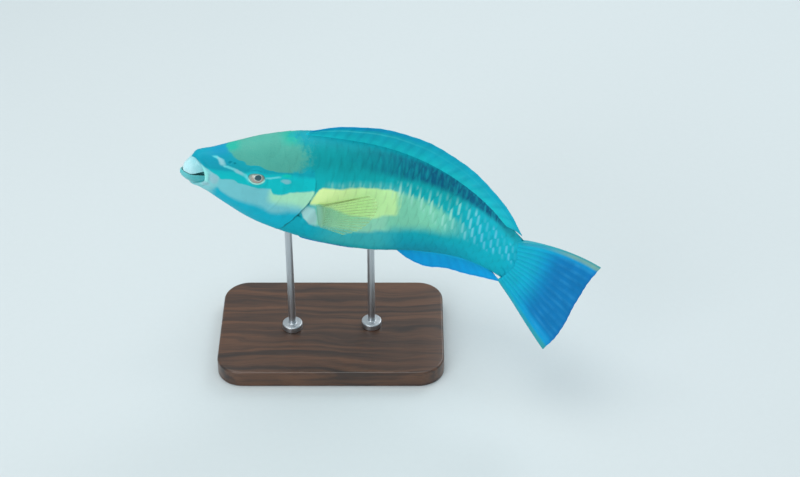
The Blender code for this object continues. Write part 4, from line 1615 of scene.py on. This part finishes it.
@dataclass
class BeakPlate:
    """One plate of the beak: a domed shell with a bitten edge.

    Rows run from under the lip to the front and on over the dome to the middle of the cutting
    edge; columns run round the muzzle from one corner of the mouth to the other. Up is 1 for the
    upper plate and -1 for the lower one.
    """

    body: Body
    name: str
    up: float
    front: float
    edge: float
    corner: float
    rows: int = 30
    cap: int = 14
    columns: int = 84
    inset: float = 0.0006
    wall: float = 0.0011
    dome: float = 0.0040
    under_lip: float = 0.011
    tuck: float = 0.0009
    bite: float = 0.0006
    bite_step: float = 0.0052
    lip_side: float = 6.0

    def edge_height(self, s: Array) -> Array:
        """The cutting edge's height: its own at the front, rising to the corner, with small bites."""
        bites = self.bite * np.abs(np.sin(np.pi * s / self.bite_step)) * (s > self.front + 1e-4)
        return blend(self.edge, self.corner, smooth_step((s - 0.004) / 0.040)) + self.up * bites

    def surface(self, lift: float, ahead: float, bevel: float) -> tuple[Array, Array]:
        """Works out one face of the shell.

        Args:
            lift: Metres out of the skin.
            ahead: How far the front lies behind the plate's own, in fractions of the length.
            bevel: How far the cutting edge is held back, in fractions of the length.

        Returns:
            The points, and the mark: share of the way to the tip and angle over the flank.
        """
        body = self.body
        across = np.linspace(0.0, 1.0, self.columns)[None, :]
        way = np.linspace(0.0, 1.0, self.rows)[:, None]
        front = self.front + ahead
        turn = self.up * (self.lip_side + (180.0 - 2.0 * self.lip_side) * across)
        rear = body.line(body.lip_line, turn) + self.under_lip
        s = blend(rear, front, way ** 0.8)
        low = body.height_angle(s, self.edge_height(s) + self.up * bevel)
        angle = low + (self.up * 180.0 - 2.0 * low) * across
        y, z = body.section(s, angle, lift - self.tuck * smooth_step(1.0 - way / 0.3))
        shrink = np.sin(quarter_round(self.cap + 1))[1:, None]
        keep = np.sqrt(np.clip(1.0 - shrink ** 2, 0.0, None)) * 0.985 + 0.015
        cap_y = y[-1] * keep
        cap_z = blend(self.edge_height(np.array(front)) + self.up * bevel, z[-1], keep)
        s = np.concatenate([s, front - self.dome * shrink + 0.0 * cap_y])
        y = np.concatenate([y, cap_y])
        z = np.concatenate([z, cap_z])
        share = np.concatenate([way * 0.75, 0.75 + 0.25 * shrink]) + 0.0 * s
        rise = upright(np.concatenate([angle, angle[-1:] + 0.0 * cap_y]))
        return body.spot(s, y, z), np.stack([share, rise, 0.0 * s], axis=-1)

    def build(self, finish: Material) -> Thing:
        """Makes the plate in place of its solid.

        Args:
            finish: Its material.

        Returns:
            The plate.
        """
        outer, mark = self.surface(-self.inset, 0.0, 0.0)
        inner, _ = self.surface(-self.inset - self.wall, 0.0040, 0.0016)
        made = plate(outer, inner, "tooth", mark)
        made.marks["tooth"][len(made.points) // 2:, 2] = 1.0
        beak = made.make(self.name + "_plate", finish, Slot.BEAK, sharp=55.0)
        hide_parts(self.name)
        return beak


@dataclass(frozen=True)
class FinFinish:
    """A fin's thin skin over its rays: bands along the margin, darker or paler rays, fine joints.

    The bands are where the line along the margin starts and ends and where the edge starts.
    """

    deep: str
    body: str
    ray: str
    line: str
    edge: str
    bands: tuple[float, float, float]
    ray_share: float = 0.5
    ray_width: float = 0.20
    see: float = 1.0
    striped: bool = False
    leading: bool = False
    edge_fade: float = 0.0
    relief: float = 0.00008

    def make(self, name: str) -> Material:
        """Makes the material.

        Args:
            name: The material's name.

        Returns:
            The material, from the mark "fin": share along the base, share out to the margin and
            the place among the rays, whole numbers being rays.
        """
        paint = Paint(name)
        u, w, phase = paint.mark("fin")
        ray = ((phase + 0.5).part() - 0.5).size().falls(self.ray_width, self.ray_width * 0.6)
        cloud = paint.noise(120.0, 3.0)
        joints = paint.noise(1.0, 2.0, (phase * 2.0, w * 46.0, 0.0))
        wavy = w + (cloud - 0.5) * 0.10
        line_from, line_to, edge_from = self.bands
        kept = 1.0 - u.rises(0.40, 0.22) * self.edge_fade
        colour = paint.layers(
            paint.mix(wavy.rises(0.35, 0.35), self.deep, self.body),
            (ray * self.ray_share, self.ray),
            (wavy.between(line_from, line_to, 0.05) * kept * 0.85, self.line),
            (wavy.rises(edge_from, 0.05) * kept * 0.92, self.edge),
        )
        if self.striped:
            streak = ray * w.between(0.55, 0.98, 0.10) * (cloud * 1.4 - 0.35)
            tan = paint.mix(w.rises(0.50, 0.26), Hue.TAIL_STRIPE, Hue.TAIL_TAN)
            stripe = u.rises(0.950, 0.016) * w.between(0.06, 1.1, 0.05)
            colour = paint.layers(
                colour,
                (u.between(0.12, 0.925, 0.05) * w.between(0.40, 1.2, 0.20) * 0.72, Hue.TAIL_FIELD),
                (streak * 0.5, Hue.TAIL_STREAK),
                (stripe * (0.55 + cloud * 0.6), tan),
                (u.rises(0.986, 0.008) * 0.7, Hue.TAIL_TOP),
                (u.falls(0.048, 0.020) * (0.35 + w * 0.5), Hue.TAIL_FOOT),
            )
        if self.leading:
            first = phase.falls(0.35, 0.30) * w.falls(0.85, 0.3) * 0.7
            colour = paint.layers(colour, (first, Hue.FIRST_RAY), (w.falls(0.09, 0.07) * 0.9, Hue.FIN_ROOT))
        varying = {
            "Base Color": paint.shade(colour, cloud * 0.3 + joints * 0.12 + 0.79),
            "Roughness": cloud * 0.18 + 0.36,
            "Normal": paint.bump(ray + joints * ray * 0.3, self.relief),
        }
        if self.see < 1.0:
            solid = (ray * 0.34).most(phase.falls(0.30, 0.25) * w.falls(0.85, 0.3) * 0.6)
            varying["Alpha"] = solid.most(w.falls(0.10, 0.08) * 0.85) * (1.0 - self.see) + self.see
        return paint.done(varying, {"Specular IOR Level": 0.14})


@dataclass
class Fin:
    """A fin's sheet: rays as ridges on both faces, and a margin that dips between them."""

    body: Body
    name: str
    rays: int
    fine: int = 8
    along: int = 26
    root_half: float = 0.0011
    tip_half: float = 0.00018
    ridge: float = 0.00008
    groove: float = 0.16
    flare: float = 0.0
    dip: float = 0.012
    wave: float = 0.0
    overhang: float = 0.22

    def sheet(self, w: Array, share: Array) -> tuple[Array, Array, Array]:
        """The middle sheet's points as place, height or angle, and lift; each fin has its own."""
        raise NotImplementedError

    def sides(self, a: Array, b: Array, c: Array, half: Array) -> tuple[Array, Array]:
        """Turns the middle sheet into its two faces."""
        thick = half / self.body.length
        return self.body.spot(a, c + thick, b), self.body.spot(a, c - thick, b)

    def build(self, finish: Material, slot: Slot, branch: float = 0.0) -> Thing:
        """Makes the fin in place of its solid.

        The columns run from just ahead of the first ray to just past the last.

        Args:
            finish: Its material.
            slot: Its slot.
            branch: How strongly each ray splits in two towards the margin.

        Returns:
            The fin.
        """
        columns = (self.rays - 1) * self.fine + 5
        phase = np.linspace(-self.overhang, self.rays - 1.0 + self.overhang, columns)[None, :]
        share = (phase - phase[0, 0]) / (phase[0, -1] - phase[0, 0])
        w = np.linspace(0.0, 1.0, self.along)[:, None]
        near = np.abs(np.mod(phase + 0.5, 1.0) - 0.5)
        split = branch * smooth_step((w - 0.35) / 0.3)
        ridge = hump(near, 0.17) * (1.0 - split) + hump(near - 0.20, 0.11) * split
        dip = self.dip * (1.0 - np.cos(2.0 * np.pi * phase)) * 0.5 * smooth_step((w - 0.5) / 0.5)
        a, b, c = self.sheet(w * (1.0 - dip), share)
        c = c + self.wave / self.body.length * w * w * np.sin(phase * 1.7 + w * 2.0)
        thin = blend(self.root_half, self.tip_half, smooth_step(w * 1.4))
        grown = 0.3 + 0.7 * smooth_step(w / 0.55)
        half = thin * (1.0 - self.groove * grown * (1.0 - ridge))
        half = half + self.ridge * ridge * (1.0 - 0.75 * w) * grown
        left, right = self.sides(a, b, c, half + self.flare * hump(w, 0.18))
        mark = np.stack(np.broadcast_arrays(share, w, phase), axis=-1)
        made = plate(left, right, "fin", mark).make(self.name + "_sheet", finish, slot, sharp=70.0)
        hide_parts(self.name)
        return made


@dataclass
class UprightFin(Fin):
    """The dorsal or the anal fin, on the middle line."""

    base: tuple[float, float] = (0.290, 0.900)
    margin: Points = ()
    up: bool = True
    sunk: float = 0.0012

    def sheet(self, w: Array, share: Array) -> tuple[Array, Array, Array]:
        """Works out the middle sheet.

        Args:
            w: The share out to the margin.
            share: The share along the base.

        Returns:
            Place, height and distance from the middle line: straight lines from the back or the
            belly to the margin, at equal shares of both.
        """
        base_s = blend(*self.base, share)
        sign = 1.0 if self.up else -1.0
        base_z = self.body.outline(base_s)[0 if self.up else 1] - sign * self.sunk / self.body.length
        places, heights = np.array(self.margin).T
        spread = (places - places[0]) / (places[-1] - places[0])
        s = blend(base_s, through(spread, places, share), w)
        return s, blend(base_z, through(spread, heights, share), w), 0.0 * s


@dataclass
class TailFin(Fin):
    """The tail's fan, from the stem's rounded end to the rear margin."""

    margin: tuple = ()
    root_height: float = 0.068
    root_at: float = 0.965
    bow_above: float = 0.014
    bow_below: float = 0.006
    sunk: float = 0.012

    def sheet(self, w: Array, share: Array) -> tuple[Array, Array, Array]:
        """Works out the middle sheet.

        Args:
            w: The share out to the margin.
            share: The share from the lowest ray up.

        Returns:
            Place, height and distance from the middle line: rays fan out from the stem's end and
            bow away from the middle by a parabola.
        """
        across = share * 2.0 - 1.0
        root_z = self.root_height * across
        angle = self.body.height_angle(np.full_like(root_z, self.root_at), root_z)
        root_s = self.body.line(self.body.tail_line, angle) - self.sunk
        knots, places, heights = np.array(self.margin).T
        bow = np.where(across > 0.0, self.bow_above, self.bow_below) * across * 4.0 * w * (1.0 - w)
        s = blend(root_s, through(knots, places, across), w)
        return s, blend(root_z, through(knots, heights, across), w) + bow, 0.0 * s


@dataclass
class PairedFin(Fin):
    """A pectoral or pelvic fin, which lies along the flank or the belly.

    The corners are front upper, front lower, rear upper and rear lower: place, angle and lift.
    """

    side: Side = Side.LEFT
    corners: tuple = ()
    rounded: float = 0.042
    corner: float = 0.12
    sunk: float = 0.0

    def sheet(self, w: Array, share: Array) -> tuple[Array, Array, Array]:
        """Works out the middle sheet.

        Args:
            w: The share out to the margin.
            share: The share down the root.

        Returns:
            Place, angle and lift: the corners joined straight, with the rear margin rounded out
            by a parabola.
        """
        front_up, front_low, rear_up, rear_low = [np.array(c)[:, None] for c in self.corners]
        front = blend(front_up, front_low, share)
        rear = blend(rear_up, rear_low, share)
        rear = rear + np.array([[1.0], [0.0], [0.0]]) * self.rounded * 4.0 * share * (1.0 - share)
        reach = w * (1.0 - self.corner * np.abs(2.0 * share - 1.0) ** 6)
        s, angle, lift = [blend(front[k], rear[k], reach) for k in range(3)]
        return s, angle, lift - self.sunk * smooth_step(1.0 - w / 0.12)

    def sides(self, a: Array, b: Array, c: Array, half: Array) -> tuple[Array, Array]:
        """The two faces lie above and below the sheet's lift out of the skin."""
        angle = self.side.turned(b)
        return self.body.skin(a, angle, c + half), self.body.skin(a, angle, c - half)


@dataclass(frozen=True)
class WoodFinish:
    """Dark stained hardwood under a satin lacquer, its grain along X."""

    dark: str = "2A1A12"
    light: str = "5C3A24"

    def make(self, name: str) -> Material:
        """Makes the material.

        Args:
            name: The material's name.

        Returns:
            The material, from the place pressed together across the grain.
        """
        paint = Paint(name)
        x, y, z = paint.three(paint.place())
        drift = paint.noise(1.0, 3.0, (x * 9.0, y * 30.0, z * 30.0))
        bands = paint.noise(1.0, 4.0, (x * 6.0, y * 190.0 + drift * 7.0, z * 190.0))
        pores = paint.noise(1.0, 2.0, (x * 60.0, y * 1500.0, z * 1500.0))
        colour = paint.mix(bands.rises(0.5, 0.22), self.dark, self.light)
        colour = paint.shade(colour, 1.12 - pores.rises(0.62, 0.10) * 0.42)
        normal = paint.bump(pores, 0.00006)
        return paint.done(
            {"Base Color": colour, "Roughness": bands * 0.16 + 0.30, "Normal": normal},
            {"Coat Weight": 0.35, "Coat Roughness": 0.22},
        )


@dataclass(frozen=True)
class SteelFinish:
    """Brushed steel, the strokes along the rod."""

    colour: str = "C3C7CB"

    def make(self, name: str) -> Material:
        """Makes the material.

        Args:
            name: The material's name.

        Returns:
            The material, from the place drawn out along Z.
        """
        paint = Paint(name)
        x, y, z = paint.three(paint.place())
        strokes = paint.noise(1.0, 2.0, (x * 4200.0, y * 4200.0, z * 60.0))
        colour = paint.shade(self.colour, strokes * 0.35 + 0.82)
        rough = strokes * 0.2 + paint.noise(70.0) * 0.12 + 0.18
        varying = {"Base Color": colour, "Roughness": rough, "Normal": paint.bump(strokes, 0.00002)}
        return paint.done(varying, {"Metallic": 1.0})


@dataclass
class Stand:
    """The display stand: a flat wooden base with two steel rods, each with a collar."""

    body: Body
    size: tuple[float, float, float] = (0.156, 0.100, 0.012)
    corner: float = 0.018
    edge: float = 0.0015
    foot_edge: float = 0.0005
    middle: float = 0.0002
    rod: float = 0.0025
    collar: float = 0.0070
    collar_height: float = 0.0045
    collar_edge: float = 0.0008
    collar_foot: float = 0.0003
    seat_gap: float = 0.00003
    into_base: float = 0.007
    into_body: float = 0.010
    round_steps: int = 14
    rod_sides: int = 48

    def outline(self, inset: float, height: float) -> Array:
        """The base's outline, once round: four corner arcs joined straight.

        Args:
            inset: How far it is drawn in, in metres.
            height: How high it lies.

        Returns:
            The outline's points.
        """
        radius = self.corner - inset
        half_x = 0.5 * self.size[0] - self.corner
        half_y = 0.5 * self.size[1] - self.corner
        arcs = []
        for quarter, (sx, sy) in enumerate(((1, 1), (-1, 1), (-1, -1), (1, -1))):
            arc = quarter_round(self.round_steps) + quarter * 0.5 * np.pi
            arcs.append(np.stack(np.broadcast_arrays(
                sx * half_x + radius * np.cos(arc), sy * half_y + radius * np.sin(arc), height), axis=-1))
        return np.concatenate(arcs)

    def base(self, finish: Material) -> Thing:
        """Makes the base with its rounded top edge, from outlines at insets and heights.

        Args:
            finish: Its wood.

        Returns:
            The base.
        """
        top = self.size[2] - self.edge
        middle = self.corner - self.middle
        levels = [(middle, 0.0), (self.foot_edge, 0.0), (0.0, self.foot_edge)]
        levels += [(self.edge * (1.0 - np.cos(t)), top + self.edge * np.sin(t)) for t in quarter_round(7)]
        levels.append((middle, self.size[2]))
        rings = np.array([self.outline(*level) for level in levels])
        made = tube(rings).make("base", finish, Slot.WOOD, sharp=40.0)
        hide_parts("stand_base")
        return made

    def rods(self, finish: Material) -> list[Thing]:
        """Makes the rods, each a profile of radius and height turned about Z, up into the belly.

        Args:
            finish: Their steel.

        Returns:
            The two rods with their collars.
        """
        made = []
        turn = once_round(self.rod_sides)
        arc = quarter_round(6)
        seat = self.size[2] + self.seat_gap
        shoulder = seat + self.collar_height
        for word, s in zip(("front", "rear"), self.body.rod_places):
            place = self.body.spot(s, 0.0, self.body.outline(s)[1])
            foot = [(self.rod, self.size[2] - self.into_base), (self.rod, seat),
                    (self.collar - self.collar_foot, seat), (self.collar, seat + self.collar_foot)]
            rim = [(self.collar - self.collar_edge * (1.0 - math.cos(t)),
                    shoulder - self.collar_edge * (1.0 - math.sin(t))) for t in arc]
            neck = [(self.rod + self.collar_edge * (1.0 - math.sin(t)),
                     shoulder + self.collar_edge * (1.0 - math.cos(t))) for t in arc]
            heights = np.linspace(shoulder + 2.0 * self.collar_edge, place[2] + self.into_body, 6)
            profile = np.array(foot + rim + neck + [(self.rod, float(h)) for h in heights])
            radius, height = profile.T[:, :, None]
            rings = (place[0] + radius * np.cos(turn), place[1] + radius * np.sin(turn), height + 0.0 * turn)
            rod = tube(np.stack(rings, axis=-1)).make("rod_" + word, finish, Slot.STEEL, sharp=40.0)
            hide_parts("stand_rod_" + word)
            made.append(rod)
        return made


@dataclass
class Studio:
    """A plain pale floor, soft light, and the camera, which stands where the photo was taken from.

    A lamp has a name, a place, a size, a power and a colour.
    """

    target: tuple[float, float, float] = (0.0475444, -0.0865405, 0.154)
    distance: float = 1.104
    elevation: float = 37.0
    lens: float = 80.73
    floor_size: float = 8.0
    floor_colour: str = "CFD6D8"
    world_colour: str = "DCE9EE"
    world_strength: float = 0.64
    lamps: tuple = (
        ("light_above", (-0.15, 0.05, 1.6), 1.3, 14.8, (1.0, 0.99, 0.97)),
        ("light_front", (-0.8, -1.3, 0.75), 0.9, 7.6, (0.96, 0.98, 1.0)),
        ("light_behind", (0.7, 1.0, 1.0), 0.7, 5.0, (0.95, 0.98, 1.0)),
    )

    def floor(self) -> Thing:
        """Makes the floor: a wide slab whose top is the surface that the stand is on."""
        paint = Paint("floor_pale")
        grain = paint.noise(240.0, 3.0)
        colour = paint.shade(self.floor_colour, grain * 0.03 + paint.noise(2.5) * 0.04 + 0.965)
        finish = paint.done(
            {"Base Color": colour, "Roughness": grain * 0.1 + 0.68, "Normal": paint.bump(grain, 0.00005)},
            {"Specular IOR Level": 0.25},
        )
        half = 0.5 * self.floor_size
        corners = np.array([(half, half), (-half, half), (-half, -half), (half, -half)])
        rings = np.array([np.column_stack([corners, np.full(4, z)]) for z in (-0.02, 0.0)])
        floor = tube(rings).make("floor", finish, None, sharp=30.0)
        return floor

    def light(self) -> None:
        """Lights the scene with soft square lamps that face the fish, and a pale room."""
        for name, place, size, power, colour in self.lamps:
            light = bpy.data.lights.new(name, "AREA")
            light.size = size
            light.energy = power
            light.color = colour
            made = bpy.data.objects.new(name, light)
            made.location = place
            gap = Vector(self.target) - Vector(place)
            made.rotation_euler = gap.to_track_quat("-Z", "Y").to_euler()
            bpy.context.scene.collection.objects.link(made)
        world = bpy.data.worlds.new("pale_room")
        world.use_nodes = True
        ground = world.node_tree.nodes["Background"]
        ground.inputs[0].default_value = tint(self.world_colour)
        ground.inputs[1].default_value = self.world_strength
        bpy.context.scene.world = world

    def camera(self) -> Thing:
        """Sets up the camera."""
        sight = bpy.data.cameras.new("camera")
        sight.lens = self.lens
        sight.sensor_width = 36.0
        made = bpy.data.objects.new("camera", sight)
        lift = math.radians(self.elevation)
        x, y, z = self.target
        made.location = (x, y - self.distance * math.cos(lift), z + self.distance * math.sin(lift))
        made.rotation_euler = (0.5 * math.pi - lift, 0.0, 0.0)
        bpy.context.scene.collection.objects.link(made)
        bpy.context.scene.camera = made
        return made


@dataclass
class Parrotfish:
    """The whole fish with its finishes."""

    body: Body = field(default_factory=Body)

    def build(self) -> None:
        """Builds the fish's pieces in order: flesh, coat, eyes, beak and fins."""
        body = self.body
        gazes = (Gaze(body, Side.LEFT), Gaze(body, Side.RIGHT))
        skin = SkinFinish()
        Skin(body, gazes).build(skin.make("skin_wet"))
        Coat(body, Girth(body), gazes).build(skin.make("scales_wet", scaly=True))
        lid = skin.make("lid_wet", lid=True)
        eye = EyeFinish().make("eye_wet")
        for gaze in gazes:
            Lid(gaze).build(lid)
            Eye(gaze).build(eye)
        upper = BeakFinish("BCEAF0", "8CCFD6", "E2FAFB").make("beak_upper")
        lower = BeakFinish("5CC6CA", "38ABB0", "A4E4E2").make("beak_lower")
        BeakPlate(body, "upper_beak", 1.0, front=-0.0080, edge=0.0020, corner=0.0230).build(upper)
        BeakPlate(body, "lower_beak", -1.0, front=-0.0145, edge=0.0002, corner=0.0105).build(lower)
        self.middle_fins()
        self.paired_fins()

    def middle_fins(self) -> None:
        """Builds the dorsal, anal and tail fins; their margins are in fractions of the length."""
        back = FinFinish("10BCC4", "08B0C4", "069EB6", "46D2D6", "0496C6", (0.62, 0.67, 0.80), 0.3,
                         edge_fade=0.8)
        under = FinFinish("08A6DA", "02A4E4", "0296D8", "18B4E0", "0296DC", (0.10, 0.18, 0.88), 0.35)
        tail = FinFinish("05B0C8", "029CD4", "028AC6", "0398D2", "0A7EC4", (2.0, 2.1, 0.975), 0.22,
                         striped=True)
        above = ((0.304, 0.177), (0.370, 0.199), (0.470, 0.215), (0.600, 0.212), (0.710, 0.190),
                 (0.810, 0.157), (0.885, 0.123), (0.950, 0.084))
        below = ((0.632, -0.151), (0.670, -0.166), (0.725, -0.166), (0.790, -0.140), (0.870, -0.113),
                 (0.955, -0.074))
        behind = ((-1.0, 1.163, -0.152), (-0.5, 1.179, -0.078), (0.0, 1.178, 0.0), (0.5, 1.178, 0.080),
                  (1.0, 1.188, 0.162))
        dorsal = UprightFin(self.body, "dorsal_fin", 19, flare=0.0011, wave=0.0003, margin=above)
        dorsal.build(back.make("fin_back"), Slot.BLUE_FIN)
        anal = UprightFin(self.body, "anal_fin", 12, flare=0.0006, wave=0.0003, base=(0.612, 0.900),
                          margin=below, up=False)
        anal.build(under.make("fin_under"), Slot.BLUE_FIN)
        fan = TailFin(self.body, "tail_fin", 14, fine=10, along=34, root_half=0.0015, flare=0.0016,
                      dip=0.004, wave=0.0004, margin=behind)
        fan.build(tail.make("fin_tail"), Slot.BLUE_FIN, branch=0.8)

    def paired_fins(self) -> None:
        """Builds the pectoral and pelvic fins of both sides."""
        clear = FinFinish("A8DEB0", "C0EC90", "98BC74", "C0EC90", "D0F0A4", (2.0, 2.1, 0.97), 0.65, 0.13,
                          see=0.10, leading=True)
        belly = FinFinish("0A9CC8", "0590CC", "0478B4", "3CB4D4", "0478BC", (0.70, 0.80, 0.90))
        clear_made = clear.make("fin_clear")
        belly_made = belly.make("fin_belly")
        flank = ((0.352, 0.0, 0.0018), (0.374, -22.0, 0.0018),
                 (0.505, 23.0, 0.0090), (0.456, -22.0, 0.0070))
        low = ((0.338, -76.0, 0.0005), (0.350, -82.0, 0.0006),
               (0.462, -75.0, 0.0004), (0.474, -83.0, 0.0006))
        for side in Side:
            pectoral = PairedFin(self.body, "pectoral_fin_" + side.word, 14, along=28, root_half=0.0007,
                                 tip_half=0.00013, ridge=0.00005, side=side, corners=flank, sunk=0.0016)
            pectoral.build(clear_made, Slot.CLEAR_FIN, branch=0.6)
            pelvic = PairedFin(self.body, "pelvic_fin_" + side.word, 6, along=20, root_half=0.0006,
                               side=side, corners=low, sunk=0.0012)
            pelvic.build(belly_made, Slot.BLUE_FIN, branch=0.5)


def main() -> None:
    """Builds the fish, its stand and the studio in order."""
    logging.basicConfig(level=logging.INFO, format="%(name)s: %(message)s")
    bpy.context.scene.view_settings.view_transform = "Standard"
    fish = Parrotfish()
    fish.build()
    stand = Stand(fish.body)
    stand.base(WoodFinish().make("wood_dark"))
    stand.rods(SteelFinish().make("steel_brushed"))
    studio = Studio()
    studio.floor()
    studio.light()
    studio.camera()


if __name__ == "__main__":
    main()
